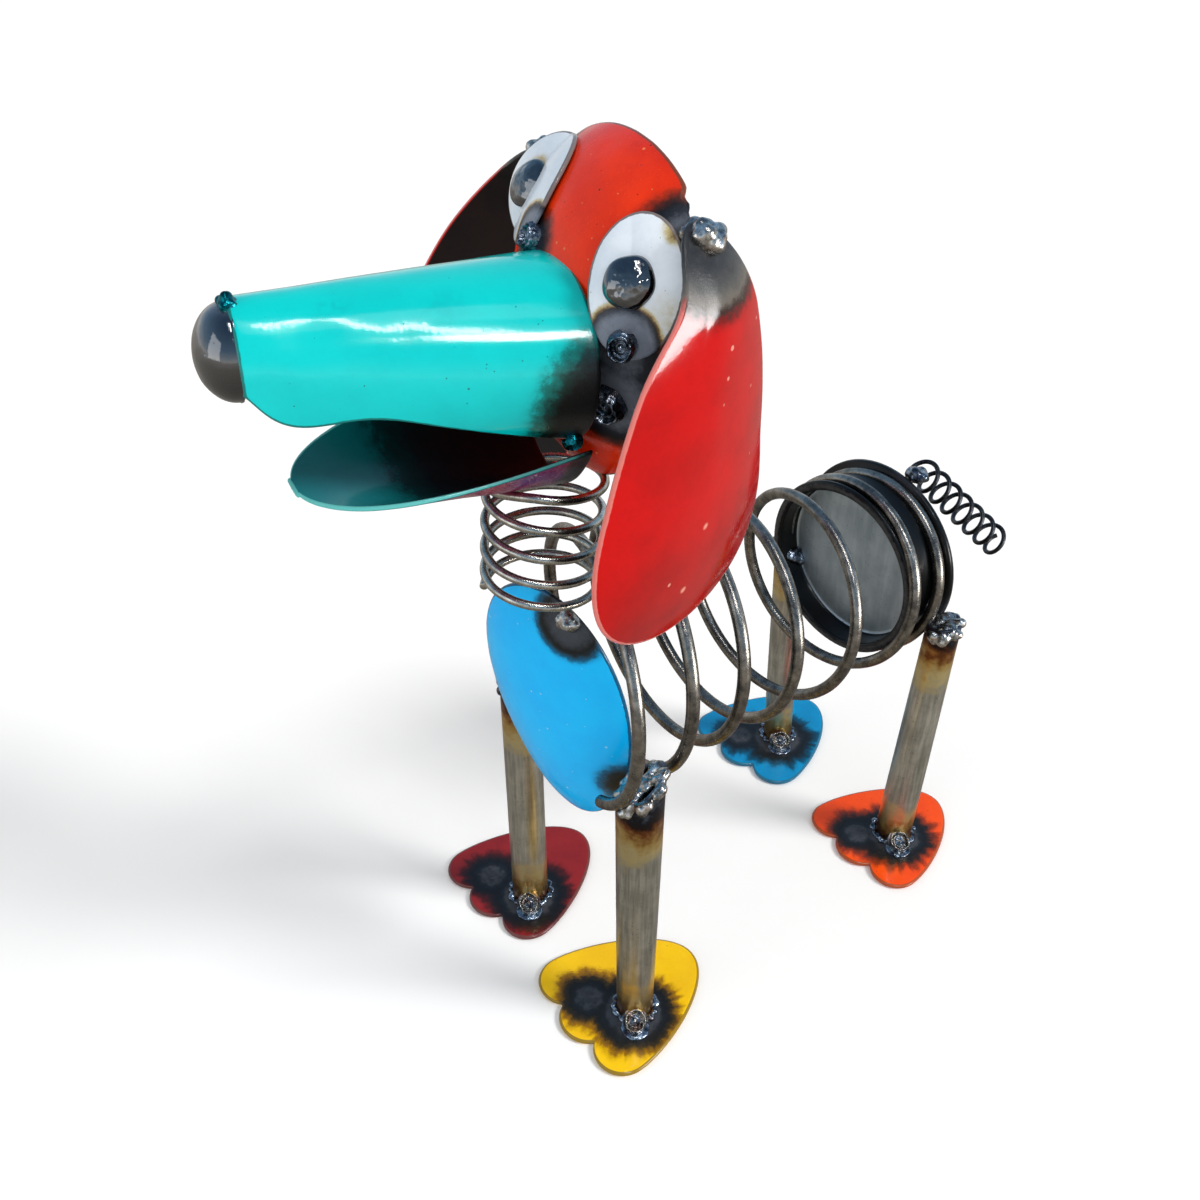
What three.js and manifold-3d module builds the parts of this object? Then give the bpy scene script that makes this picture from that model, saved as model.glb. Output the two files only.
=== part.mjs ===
// Standing hound sculpture welded from scrap metal: coil-spring body and neck,
// a shallow drum for hindquarters, pressed oval sheet plates for head, ears and
// chest, rolled-sheet snout and jaw, tube legs on flat paw plates.
// Millimetres, +Z up, the animal faces -Y, its left side is +X.
import * as THREE from "three";
import Module from "manifold-3d";
import { mergeVertices } from "three/addons/utils/BufferGeometryUtils.js";

const wasm = await Module();
wasm.setup();

// ---------- driving dimensions ----------
const TAU = Math.PI * 2;
const DEG = Math.PI / 180;
const GAP = 0.3; // clearance left between two pieces that touch
const CLEAN = 0.008; // slivers finer than this are closed up after a cut
const CLEAR = 0.5; // growth of the tools that cut one piece back from its neighbour
const SHEET = 1.6; // pressed sheet: head, ears, chest
const THIN = 1.4; // rolled sheet: snout, jaw, eye plates

// body spring: left-handed coil, wire centre line
const BODY_WIRE = 4.9;
const BODY = {
  from: -0.3, to: 6.27, perTurn: 16, sides: 6, phase: -0.661,
  y: [[-0.3, 57.5], [0.4, 48.5], [1, 39.3], [2, 4.4], [3, -29.2], [4, -57.4], [5, -81.8], [6.3, -112.6]],
  z: [[-0.3, 140.3], [2, 143.6], [4, 157.8], [6.3, 162.3]],
  x: [[-0.3, -1.9], [3, -0.9], [6.3, 1.5]],
  radius: [44, 5.3, 0.1], // mid radius, growth toward the front, curvature
  skewSin: [-0.2, 1.7, -0.5], skewCos: [-4.8, -6.9, -0.3], // lean of each turn
};
// neck spring
const NECK_WIRE = 3.0;
const NECK = { x: 0.6, y: -119.4, top: 249.4, pitch: 11.8, tighten: 0.44, radius: 19.1, leanX: 0.02, leanY: 0.067, from: -0.32, to: 4.75, perTurn: 13, sides: 6, phase: -0.633 };
// tail spring
const TAIL_WIRE = 2.0;
const TAIL = { root: [4.4, 76, 178.3], dir: [0.396, 0.945, -1], coil: 5.95, pitch: 9.37, from: -0.42, to: 6.85, phase: -1.513, perTurn: 11, sides: 4 };

// hindquarter drum
const DRUM = { x: -3.4, y: 37, z: 141, depth: 26, radius: 37.6, wall: 1.8, web: 11, lip: 2.6, lipWide: 2.4, flange: 4.4, flangeWide: 2.6 };

// head plate: egg-shaped, domed forward
const HEAD = { at: [1.1, -93.2, 299.2], yaw: 10.3, pitch: 8.9, roll: 5.5, half: 50, high: 49.5, low: 57, depth: 27, rim: 66, taper: 0.2 };
// eye plates and pupils: [x, y, z], facing azimuth, facing elevation, turn in plane
const EYE = { half: 13.2, high: 19.2, depth: 3.4, rim: 50 };
const EYES = {
  left: { at: [33.3, -110.3, 318.3], az: 42.5, el: 27.8, rot: -2.5, half: 13.2, high: 19.2, taper: 0, pupil: [-1.5, 0.5] },
  right: { at: [-25.4, -98.5, 326.3], az: 1, el: 34.1, rot: 28.6, half: 15.4, high: 18.6, taper: 0.25, pupil: [-3.2, 2] },
};
const PUPIL = { radius: 7.1, rise: 4.6 };

// snout: half cone open below
const SNOUT = { at: [1.8, -115.8, 291.5], yaw: 14.6, pitch: 3.9, roll: -5.4, length: 92.3, backHalf: 33.9, backHigh: 27.4, noseHalf: 16.0, noseHigh: 22.4, wrap: [[0, 145], [0.5, 115], [0.7, 109], [0.86, 113], [0.95, 102], [1, 88]] };
const NOSE = { radius: 13.5, rise: 10 };
// jaw: trough open above
const JAW = { at: [-2.8, -115.5, 270.2], yaw: 9.4, pitch: -4.5, roll: 6.3, length: 82.1, half: 27.8, deep: 26.3, tip: 4.0 };

// ears: leaf plates bent over at the top
const EARS = {
  left: { at: [50.9, -102.7, 266.3], az: 101, el: -2.4, rot: -3.7 },
  right: { at: [-61.0, -93.7, 268.3], az: -147.3, el: -2, rot: 20.5 },
};
const EAR = { half: 37.6, high: 72.6, low: 57.6, depth: 6, rim: 40, taper: -0.43, bendAt: 44.7, bendRadius: 36.6, frontIn: 5, frontAt: 52, frontSpan: 12, rearIn: 3, rearAt: -2, rearSpan: 24 };

// chest plate
const CHEST = { at: [-0.6, -115.7, 144.9], az: 13.9, el: -8.1, rot: -0.3, half: 33.1, high: 60.1, depth: 8.6, rim: 62, taper: 0.15 };

// legs: foot point, head point, diameters at the foot and at the top
const TUBE_WALL = 1.5;
const LEGS = {
  front_left: { foot: [40.2, -109.6], top: [40.2, -109.6, 142], d0: 15.2, d1: 18.4 },
  front_right: { foot: [-37.2, -109.3], top: [-37.2, -109.3, 132], d0: 16.2, d1: 16.2 },
  rear_left: { foot: [40.7, 53.0], top: [41.5, 57.5, 130], d0: 17.0, d1: 14.6 },
  rear_right: { foot: [-43.5, 56.6], top: [-41.5, 47.5, 130], d0: 14.6, d1: 14.0 },
};
// paw plates
const PAW = { thick: 2.0, heel: 34.5, halfWide: 32.5, toeR: 12, midR: 12.5, toeX: 20.5, toeY: -19, midY: -21.5 };
const PAWS = {
  front_left: { at: [33.1, -106.7], turn: -2, size: 0.995 },
  front_right: { at: [-47.4, -102.4], turn: 6, size: 0.975 },
  rear_left: { at: [38, 53.6], turn: -1, size: 0.945 },
  rear_right: { at: [-47.8, 56.2], turn: 4, size: 0.99 },
};

// weld beads: middle, half sizes, and which pieces they run up against
const BEADS = {
  ear_left: { at: [45.5, -98, 333], size: [9, 6.5, 5], seed: 1, near: ["head", "earL", "eyeL"] },
  ear_right: { at: [-39.4, -88.2, 333.2], size: [8, 6, 5], seed: 2, near: ["head", "earR", "eyeR"] },
  nose: { at: [-21, -203.5, 319], size: [4.5, 4, 5], seed: 3, near: ["snout", "nose"] },
  chest: { at: [14, -121.5, 198], size: [6.5, 5, 6], seed: 4, near: ["neck", "chest", "spring"] },
  leg_front_left: { at: [46, -118.5, 135.5], size: [10, 7, 6], seed: 5, near: ["legFL", "spring", "chest"] },
  leg_front_right: { at: [-39, -116, 128], size: [8, 7, 5.5], seed: 6, near: ["legFR", "spring", "chest"] },
  leg_rear_left: { at: [40, 59, 129], size: [9, 9, 5], seed: 7, near: ["legRL", "spring", "drum"] },
  leg_rear_right: { at: [-41, 49, 128], size: [8, 8, 5], seed: 8, near: ["legRR", "spring", "drum"] },
  tail: { at: [8, 66, 183.5], size: [8.5, 6, 5], seed: 9, near: ["drum", "tail", "spring"] },
};
// plug welds: middle, facing direction, radius
const PLUGS = {
  eye_left: { at: [37.1, -118.2, 304.6], n: [0.6, -0.8, 0.1], r: 4.1, near: ["head", "eyeL"] },
  eye_right: { at: [-11.8, -112.7, 319.2], n: [-0.3, -0.8, 0.5], r: 4.1, near: ["head", "eyeR", "snout"] },
  snout_left: { at: [28.2, -116, 283], n: [0.4, -0.9, -0.2], r: 5.6, near: ["head", "snout"] },
  jaw_left: { at: [23.4, -125.5, 272.6], n: [0.7, -0.35, -0.6], r: 2.9, near: ["head", "snout", "jaw"] },
};
const FOOT_BEAD = { wide: 4.2, high: 4.6, sides: 12 };

// ---------- small maths ----------
const V = (x, y, z) => new THREE.Vector3(x, y, z);

// natural cubic through [t, value] knots
function spline(knots) {
  const n = knots.length, t = knots.map((k) => k[0]), v = knots.map((k) => k[1]);
  const a = Array(n).fill(0), b = Array(n).fill(0), m = Array(n).fill(0);
  for (let i = 1; i < n - 1; i++) {
    const h0 = t[i] - t[i - 1], h1 = t[i + 1] - t[i];
    const p = 2 * (h0 + h1) - h0 * a[i - 1];
    a[i] = h1 / p;
    b[i] = (6 * ((v[i + 1] - v[i]) / h1 - (v[i] - v[i - 1]) / h0) - h0 * b[i - 1]) / p;
  }
  for (let i = n - 2; i > 0; i--) m[i] = b[i] - a[i] * m[i + 1];
  return (x) => {
    let i = 0;
    while (i < n - 2 && x > t[i + 1]) i++;
    const h = t[i + 1] - t[i], p = (t[i + 1] - x) / h, q = (x - t[i]) / h;
    return p * v[i] + q * v[i + 1] + ((p ** 3 - p) * m[i] + (q ** 3 - q) * m[i + 1]) * h * h / 6;
  };
}

// turn a local frame: yaw swings the face toward -X, pitch lifts it, roll lifts the right side
function poseMatrix({ at, yaw = 0, pitch = 0, roll = 0 }) {
  const cy = Math.cos(yaw * DEG), sy = Math.sin(yaw * DEG), cp = Math.cos(pitch * DEG), sp = Math.sin(pitch * DEG), cr = Math.cos(roll * DEG), sr = Math.sin(roll * DEG);
  const z = new THREE.Matrix4().set(cy, sy, 0, 0, -sy, cy, 0, 0, 0, 0, 1, 0, 0, 0, 0, 1);
  const x = new THREE.Matrix4().set(1, 0, 0, 0, 0, cp, sp, 0, 0, -sp, cp, 0, 0, 0, 0, 1);
  const y = new THREE.Matrix4().set(cr, 0, sr, 0, 0, 1, 0, 0, -sr, 0, cr, 0, 0, 0, 0, 1);
  return new THREE.Matrix4().makeTranslation(...at).multiply(z).multiply(x).multiply(y);
}
// a plate's frame: local +Y out of the convex face at (az, el), X across, Z along
function plateMatrix({ at, az, el, rot = 0 }) {
  const n = V(Math.sin(az * DEG) * Math.cos(el * DEG), -Math.cos(az * DEG) * Math.cos(el * DEG), Math.sin(el * DEG));
  const s0 = V(Math.cos(az * DEG), Math.sin(az * DEG), 0), w0 = new THREE.Vector3().crossVectors(n, s0);
  const c = Math.cos(rot * DEG), k = Math.sin(rot * DEG);
  const s = s0.clone().multiplyScalar(c).addScaledVector(w0, k), w = s0.clone().multiplyScalar(-k).addScaledVector(w0, c);
  return new THREE.Matrix4().makeBasis(s, n.clone().negate(), w).setPosition(...at);
}

// ---------- solids ----------
function meshFrom(verts, tris) {
  let vol = 0;
  for (const [a, b, c] of tris) vol += verts[a].dot(new THREE.Vector3().crossVectors(verts[b], verts[c]));
  const g = new THREE.BufferGeometry();
  g.setAttribute("position", new THREE.Float32BufferAttribute(verts.flatMap((p) => [p.x, p.y, p.z]), 3));
  g.setIndex(tris.flatMap(([a, b, c]) => (vol < 0 ? [a, c, b] : [a, b, c])));
  return g;
}
// a sheet of constant thickness below surface(u, v); the inside is offset along the normal.
// closed: v runs all the way round and u = 0 is one point (a plate meshed from its middle)
function sheet(surface, nu, nv, thick, closed = false, grow = 0) {
  const e = 1e-3;
  const normal = (u, v) => {
    if (closed && u < 1e-6) u = 0.02;
    const u0 = Math.max(0, u - e), u1 = Math.min(1, u + e), v0 = closed ? v - e : Math.max(0, v - e), v1 = closed ? v + e : Math.min(1, v + e);
    return new THREE.Vector3().crossVectors(surface(u1, v).sub(surface(u0, v)), surface(u, v1).sub(surface(u, v0))).normalize();
  };
  const verts = [], tris = [];
  const cols = closed ? nv : nv + 1;
  const id = (side, i, j) => {
    if (closed && i === 0) return side;
    const base = closed ? 2 : 0, row = closed ? i - 1 : i, rows = closed ? nu : nu + 1;
    return base + side * rows * cols + row * cols + (closed ? j % nv : j);
  };
  if (closed) {
    const n = V(0, 0, 0);
    for (let j = 0; j < nv; j++) n.add(normal(0, j / nv));
    n.normalize();
    verts.push(surface(0, 0).addScaledVector(n, grow), surface(0, 0).addScaledVector(n, -thick - grow));
  }
  for (const side of [0, 1])
    for (let i = closed ? 1 : 0; i <= nu; i++)
      for (let j = 0; j < cols; j++) verts.push(surface(i / nu, j / nv).addScaledVector(normal(i / nu, j / nv), side ? -thick - grow : grow));
  for (const side of [0, 1])
    for (let i = 0; i < nu; i++)
      for (let j = 0; j < nv; j++) {
        const a = id(side, i, j), b = id(side, i + 1, j), c = id(side, i + 1, j + 1), d = id(side, i, j + 1);
        const add = (p, q, r) => { if (p !== q && q !== r && p !== r) tris.push(side ? [p, r, q] : [p, q, r]); };
        if (closed && i === 0) add(a, b, c);
        else { add(a, b, c); add(a, c, d); }
      }
  const wall = (a, b, c, d) => tris.push([a, b, c], [a, c, d]);
  for (let j = 0; j < nv; j++) wall(id(0, nu, j), id(1, nu, j), id(1, nu, j + 1), id(0, nu, j + 1));
  if (!closed) {
    for (let j = 0; j < nv; j++) wall(id(0, 0, j + 1), id(1, 0, j + 1), id(1, 0, j), id(0, 0, j));
    for (let i = 0; i < nu; i++) {
      wall(id(0, i, 0), id(1, i, 0), id(1, i + 1, 0), id(0, i + 1, 0));
      wall(id(0, i + 1, nv), id(1, i + 1, nv), id(1, i, nv), id(0, i, nv));
    }
  }
  return meshFrom(verts, tris);
}
// egg-shaped domed plate in the X-Z plane, bulging toward -Y
function domeSurface({ half, high, low = high, depth, rim, taper = 0 }, bend = null) {
  const m = rim * DEG;
  return (u, v) => {
    const t = u * m, r = Math.sin(t) / Math.sin(m), c = Math.cos(v * TAU), s = Math.sin(v * TAU);
    const p = V(half * r * c * (1 + taper * s), -depth * (Math.cos(t) - Math.cos(m)) / (1 - Math.cos(m)), (s > 0 ? high : low) * r * s);
    return bend ? bend(p) : p;
  };
}
// wire along a curve
class Wire extends THREE.Curve {
  constructor(fn) { super(); this.fn = fn; }
  getPoint(t, target = new THREE.Vector3()) { return target.copy(this.fn(t)); }
}
function wire(fn, steps, dia, sides) {
  const section = new THREE.Shape().absarc(0, 0, dia / 2, 0, TAU, false);
  return new THREE.ExtrudeGeometry(section, { steps, curveSegments: sides / 2, bevelEnabled: false, extrudePath: new Wire(fn) });
}
// ---------- booleans ----------
function toSolid(geometry) {
  const g = geometry.clone();
  for (const k of Object.keys(g.attributes)) if (k !== "position") g.deleteAttribute(k);
  const m = mergeVertices(g, 1e-3);
  return new wasm.Manifold(new wasm.Mesh({ numProp: 3, vertProperties: m.attributes.position.array, triVerts: new Uint32Array(m.index.array) }));
}
function toGeometry(solid) {
  const mesh = solid.getMesh();
  const g = new THREE.BufferGeometry();
  g.setAttribute("position", new THREE.BufferAttribute(new Float32Array(mesh.vertProperties), 3));
  g.setIndex(new THREE.BufferAttribute(new Uint32Array(mesh.triVerts), 1));
  return g;
}
// the largest body of a - b - c ...
function cut(geometry, ...tools) {
  let s = toSolid(geometry);
  for (const t of tools) s = s.subtract(toSolid(t));
  const parts = s.decompose().sort((p, q) => q.volume() - p.volume());
  return toGeometry(parts[0].setTolerance(CLEAN).simplify(CLEAN));
}

// ---------- pieces in the layout frame ----------
const place = (g, m) => g.clone().applyMatrix4(m);

const by = spline(BODY.y), bz = spline(BODY.z), bx = spline(BODY.x);
function bodyPoint(t) {
  const s = (t - 3) / 3, th = TAU * t + BODY.phase;
  const q = ([a, b, c]) => a + b * s + c * s * s;
  const R = q(BODY.radius);
  return V(bx(t) + R * Math.cos(th), by(t) + q(BODY.skewSin) * Math.sin(th) + q(BODY.skewCos) * Math.cos(th), bz(t) - R * Math.sin(th));
}
const bodySpring = (grow = 0, sides = BODY.sides) => wire((k) => bodyPoint(BODY.from + k * (BODY.to - BODY.from)), Math.round((BODY.to - BODY.from) * BODY.perTurn), BODY_WIRE + 2 * grow, sides);

function neckPoint(t) {
  const phi = NECK.phase - 0 + TAU * t, h = -(NECK.pitch * t - NECK.tighten * t * t);
  const lx = NECK.radius * Math.cos(phi), ly = NECK.radius * Math.sin(phi);
  return V(NECK.x + lx + NECK.leanX * h, NECK.y + ly + NECK.leanY * h, NECK.top + h - NECK.leanX * lx - NECK.leanY * ly);
}
const neckSpring = (grow = 0) => wire((k) => neckPoint(NECK.from + k * (NECK.to - NECK.from)), Math.round((NECK.to - NECK.from) * NECK.perTurn), NECK_WIRE + 2 * grow, NECK.sides);

function tailPoint(t) {
  const d = V(...TAIL.dir).normalize(), b = new THREE.Vector3().crossVectors(d, V(1, 0, 0)).normalize(), a = new THREE.Vector3().crossVectors(b, d);
  const th = TAU * t + TAIL.phase;
  return V(...TAIL.root).addScaledVector(d, TAIL.pitch * t).addScaledVector(a, TAIL.coil * Math.cos(th)).addScaledVector(b, TAIL.coil * Math.sin(th));
}
const tailSpring = (grow = 0) => wire((k) => tailPoint(TAIL.from + (TAIL.to - TAIL.from) * k), Math.round((TAIL.to - TAIL.from) * TAIL.perTurn), TAIL_WIRE + 2 * grow, TAIL.sides);

// drum: a shallow pan, open toward the front, its floor set back by `web`, with a
// rolled front lip and a wider rear flange; the lathe turns about the animal's long axis
function drum() {
  const { radius: R, wall: w, depth: D, web, lip, lipWide: lw, flange: f, flangeWide: fw } = DRUM;
  const profile = [[0, web], [R - w, web], [R - w, 0], [R + lip, 0], [R + lip, lw], [R, lw], [R, D - fw], [R + f, D - fw], [R + f, D], [R - w, D], [R - w, web + w], [0, web + w]];
  return new THREE.LatheGeometry(profile.map(([r, h]) => new THREE.Vector2(r, h)), 28).translate(DRUM.x, DRUM.y, DRUM.z);
}

// the drum with its pan filled, grown by the clearance
function drumBlock(grow = GAP) {
  const { radius: R, depth: D, lip, lipWide: lw, flange: f, flangeWide: fw } = DRUM, g = grow;
  const profile = [[0, -g], [R + lip + g, -g], [R + lip + g, lw + g], [R + g, lw + g], [R + g, D - fw - g], [R + f + g, D - fw - g], [R + f + g, D + g], [0, D + g]];
  return new THREE.LatheGeometry(profile.map(([r, h]) => new THREE.Vector2(r, h)), 28).translate(DRUM.x, DRUM.y, DRUM.z);
}

const headMatrix = poseMatrix(HEAD);
const headPlate = (grow = 0) => place(sheet(domeSurface(HEAD), 5, 24, SHEET, true, grow), headMatrix);

// everything behind the head plate's outer face, grown by the clearance
const headBlock = (grow = GAP, behind = 30) => place(filledDome(HEAD, 5, 24, behind, grow), headMatrix);
const headInverse = headMatrix.clone().invert();
// true where a layout point is in front of the head plate's outer face
function beforeHead(p) {
  const q = p.clone().applyMatrix4(headInverse), H = q.z > 0 ? HEAD.high : HEAD.low, a = q.z / H;
  let r = Math.hypot(q.x / HEAD.half, a);
  for (let k = 0; k < 8; k++) r = Math.hypot(q.x / (HEAD.half * (1 + HEAD.taper * (r > 1e-6 ? a / r : 0))), a);
  if (r >= 1) return q.y < 0;
  const m = HEAD.rim * DEG, t = Math.asin(r * Math.sin(m));
  return q.y < -HEAD.depth * (Math.cos(t) - Math.cos(m)) / (1 - Math.cos(m));
}
// an eye plate keeps its own dome but is pressed against the head where it would sink in
const eyeMatrix = (side) => plateMatrix(EYES[side]);
function eyeSurface(side) {
  const base = domeSurface({ ...EYES[side], depth: EYE.depth, rim: EYE.rim }), m = eyeMatrix(side), n = V(0, -1, 0).transformDirection(m);
  return (u, v) => {
    const p = base(u, v).applyMatrix4(m), probe = p.clone().addScaledVector(n, -THIN - GAP - 0.25);
    let s = 0;
    while (s < 30 && !beforeHead(probe.clone().addScaledVector(n, s))) s += 0.25;
    return p.addScaledVector(n, s);
  };
}
const eyePlate = (side, grow = 0) => sheet(eyeSurface(side), 3, 16, THIN, true, grow);
// glossy pupil cap, its back shaped to the eye plate
function pupil(side) {
  const surface = eyeSurface(side), n = V(0, -1, 0).transformDirection(eyeMatrix(side)), mid = surface(0, 0);
  const at = new THREE.Matrix4().makeTranslation(...mid.clone().sub(V(...EYES[side].at)).toArray()).multiply(eyeMatrix(side));
  const shift = V(EYES[side].pupil[0], 0, EYES[side].pupil[1]);
  const body = place(cap(PUPIL.radius, PUPIL.rise, 4, 12, 3).translate(shift.x, 0, shift.z), at);
  return cut(body, sheet(surface, 3, 16, 8, true, GAP));
}

// dome face toward -Y closed by a flat back: the space behind a plate
function filledDome(spec, nu, nv, back, grow) {
  const f = domeSurface(spec), verts = [V(0, 0, 0), V(0, back, 0)], tris = [], e = 1e-3;
  const nrm = (u, v) => new THREE.Vector3().crossVectors(f(Math.min(1, u + e), v).sub(f(u - e, v)), f(u, v + e).sub(f(u, v - e))).normalize();
  let sign = nrm(0.5, 0).y < 0 ? 1 : -1;
  verts[0] = f(0, 0).addScaledVector(V(0, -1, 0), grow);
  for (let i = 1; i <= nu; i++) for (let j = 0; j < nv; j++) verts.push(f(i / nu, j / nv).addScaledVector(nrm(i / nu, j / nv), sign * grow));
  const id = (i, j) => 2 + (i - 1) * nv + (j % nv), ring = verts.length;
  for (let j = 0; j < nv; j++) { const p = verts[id(nu, j)].clone(); p.y = back; verts.push(p); }
  for (let j = 0; j < nv; j++) {
    tris.push([0, id(1, j), id(1, j + 1)]);
    for (let i = 1; i < nu; i++) tris.push([id(i, j), id(i + 1, j), id(i + 1, j + 1)], [id(i, j), id(i + 1, j + 1), id(i, j + 1)]);
    const a = ring + j, b = ring + ((j + 1) % nv);
    tris.push([id(nu, j), a, b], [id(nu, j), b, id(nu, j + 1)], [1, b, a]);
  }
  return meshFrom(verts, tris);
}
// solid cap with a short neck behind it
function cap(radius, rise, neck, around, rings) {
  const profile = [];
  for (let i = 0; i <= rings; i++) profile.push(new THREE.Vector2(radius * Math.sin((i / rings) * 90 * DEG), -rise * Math.cos((i / rings) * 90 * DEG)));
  if (neck > 0) profile.push(new THREE.Vector2(radius, neck));
  profile.push(new THREE.Vector2(0, neck));
  return new THREE.LatheGeometry(profile, around);
}

const snoutWrap = spline(SNOUT.wrap); // half angle that the sheet wraps from its ridge
function snoutSurface(u, v) {
  const s = u, q = 2 * v - 1;
  const b = SNOUT.backHalf + (SNOUT.noseHalf - SNOUT.backHalf) * s, c = SNOUT.backHigh + (SNOUT.noseHigh - SNOUT.backHigh) * s;
  const w = snoutWrap(s) * DEG * q;
  return V(b * Math.sin(w), -SNOUT.length * s, c * Math.cos(w));
}
const snoutMatrix = poseMatrix(SNOUT);
const snout = (grow = 0) => place(sheet(snoutSurface, 9, 12, THIN, false, grow), snoutMatrix);

function jawSurface(u, v) {
  const q = 2 * v - 1, w = JAW.half * Math.sqrt(Math.max(0.02, 1 - u ** 3.2)), d = (JAW.deep + (JAW.tip - JAW.deep) * u) * (1 - u ** 3.6);
  return V(w * q, -JAW.length * u, -d * (1 - q * q));
}
const jawMatrix = poseMatrix(JAW);
const jaw = (grow = 0) => place(sheet(jawSurface, 8, 8, THIN, false, grow), jawMatrix);

const nose = (grow = 0) => place(cap(NOSE.radius + grow, NOSE.rise + grow, grow, 16, 4), snoutMatrix.clone().multiply(new THREE.Matrix4().makeTranslation(0, -SNOUT.length - GAP, SNOUT.noseHigh - NOSE.radius - 1)));

// the leaf's front edge is drawn in near the top and its rear edge at mid height; the top is rolled inward over bendRadius
function earBend(p) {
  const hump = (at, span) => Math.exp(-(((p.z - at) / span) ** 2)), edge = (w) => Math.min(1, Math.max(0, w / 10));
  p.x += EAR.frontIn * hump(EAR.frontAt, EAR.frontSpan) * edge(-p.x) - EAR.rearIn * hump(EAR.rearAt, EAR.rearSpan) * edge(p.x);
  const s = (p.z - EAR.bendAt) / EAR.bendRadius;
  if (s <= 0) return p;
  const out = -p.y;
  return V(p.x, EAR.bendRadius * (1 - Math.cos(s)) - out * Math.cos(s), EAR.bendAt + (EAR.bendRadius + out) * Math.sin(s));
}
const ear = (side, grow = 0) => place(sheet(domeSurface(EAR, earBend), 5, 20, SHEET, true, grow), plateMatrix(EARS[side]));
const chest = (grow = 0) => place(sheet(domeSurface(CHEST), 4, 20, SHEET, true, grow), plateMatrix(CHEST));

function leg(name) {
  const L = LEGS[name], base = PAW.thick + GAP, n = 12;
  const foot = V(L.foot[0], L.foot[1], base), top = V(...L.top), axis = top.clone().sub(foot), len = axis.length();
  const profile = [[L.d0 / 2 - TUBE_WALL, 0], [L.d0 / 2, 0], [L.d1 / 2, len], [L.d1 / 2 - TUBE_WALL, len], [L.d0 / 2 - TUBE_WALL, 0]];
  const g = new THREE.LatheGeometry(profile.map(([r, h]) => new THREE.Vector2(r, h)), n);
  // shear the tube so its foot end stays flat on the paw while its axis leans
  const m = new THREE.Matrix4().set(1, axis.x / len, 0, foot.x, 0, axis.y / len, -1, foot.y, 0, axis.z / len, 0, foot.z, 0, 0, 0, 1);
  // local X -> X, local Z -> -Y, local Y (lathe axis) -> the leaning axis
  return g.applyMatrix4(m);
}

// the leg with its bore filled, grown by the clearance
function legBlock(name, grow = GAP) {
  const L = LEGS[name], lower = V(L.foot[0], L.foot[1], -1), axis = V(...L.top).sub(V(L.foot[0], L.foot[1], PAW.thick + GAP)), len = axis.length() + PAW.thick + 1.3 + grow;
  axis.normalize();
  const profile = [[0, 0], [L.d0 / 2 + grow, 0], [L.d1 / 2 + grow, len], [0, len]];
  const m = new THREE.Matrix4().set(1, axis.x, 0, lower.x, 0, axis.y, -1, lower.y, 0, axis.z, 0, lower.z, 0, 0, 0, 1);
  return new THREE.LatheGeometry(profile.map(([r, h]) => new THREE.Vector2(r, h)), 12).applyMatrix4(m);
}
// lumpy weld bead: a ball stretched by `size`, its radius rippled
function lump({ at, size, seed }) {
  const g = new THREE.IcosahedronGeometry(1, 1), p = g.attributes.position;
  for (let i = 0; i < p.count; i++) {
    const d = V(p.getX(i), p.getY(i), p.getZ(i)).normalize();
    const k = 1 + 0.09 * Math.sin(5.1 * d.x + 1.7 * seed) + 0.08 * Math.sin(6.3 * d.y - 2.3 * seed) + 0.07 * Math.sin(7.2 * d.z + 0.9 * seed);
    p.setXYZ(i, d.x * k * size[0], d.y * k * size[1], d.z * k * size[2]);
  }
  return g.translate(...at);
}
// plug weld: a raised ring round a sunk middle, standing on a short root
function plug({ at, n, r }) {
  const profile = [[0, 0.5], [0.35, 0.6], [0.55, 1.5], [0.8, 1.6], [1, 0.5], [1, -2.2], [0, -2.2]].map(([a, h]) => new THREE.Vector2(a * r, h));
  const turn = new THREE.Quaternion().setFromUnitVectors(V(0, 1, 0), V(...n).normalize());
  return new THREE.LatheGeometry(profile.reverse(), 10).applyQuaternion(turn).translate(...at);
}
// fillet weld round a leg where it stands on its paw
function footBead(name) {
  const L = LEGS[name], r = L.d0 / 2 + CLEAR, z = PAW.thick + GAP, { wide, high, sides } = FOOT_BEAD, profile = [[r, 0], [r + wide, 0]];
  for (let i = 1; i <= 3; i++) profile.push([r + wide * Math.cos((i / 3) * 90 * DEG), high * Math.sin((i / 3) * 90 * DEG)]);
  profile.push([r, 0]);
  return new THREE.LatheGeometry(profile.map(([a, h]) => new THREE.Vector2(a, h)), sides).rotateX(90 * DEG).translate(L.foot[0], L.foot[1], z);
}

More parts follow.
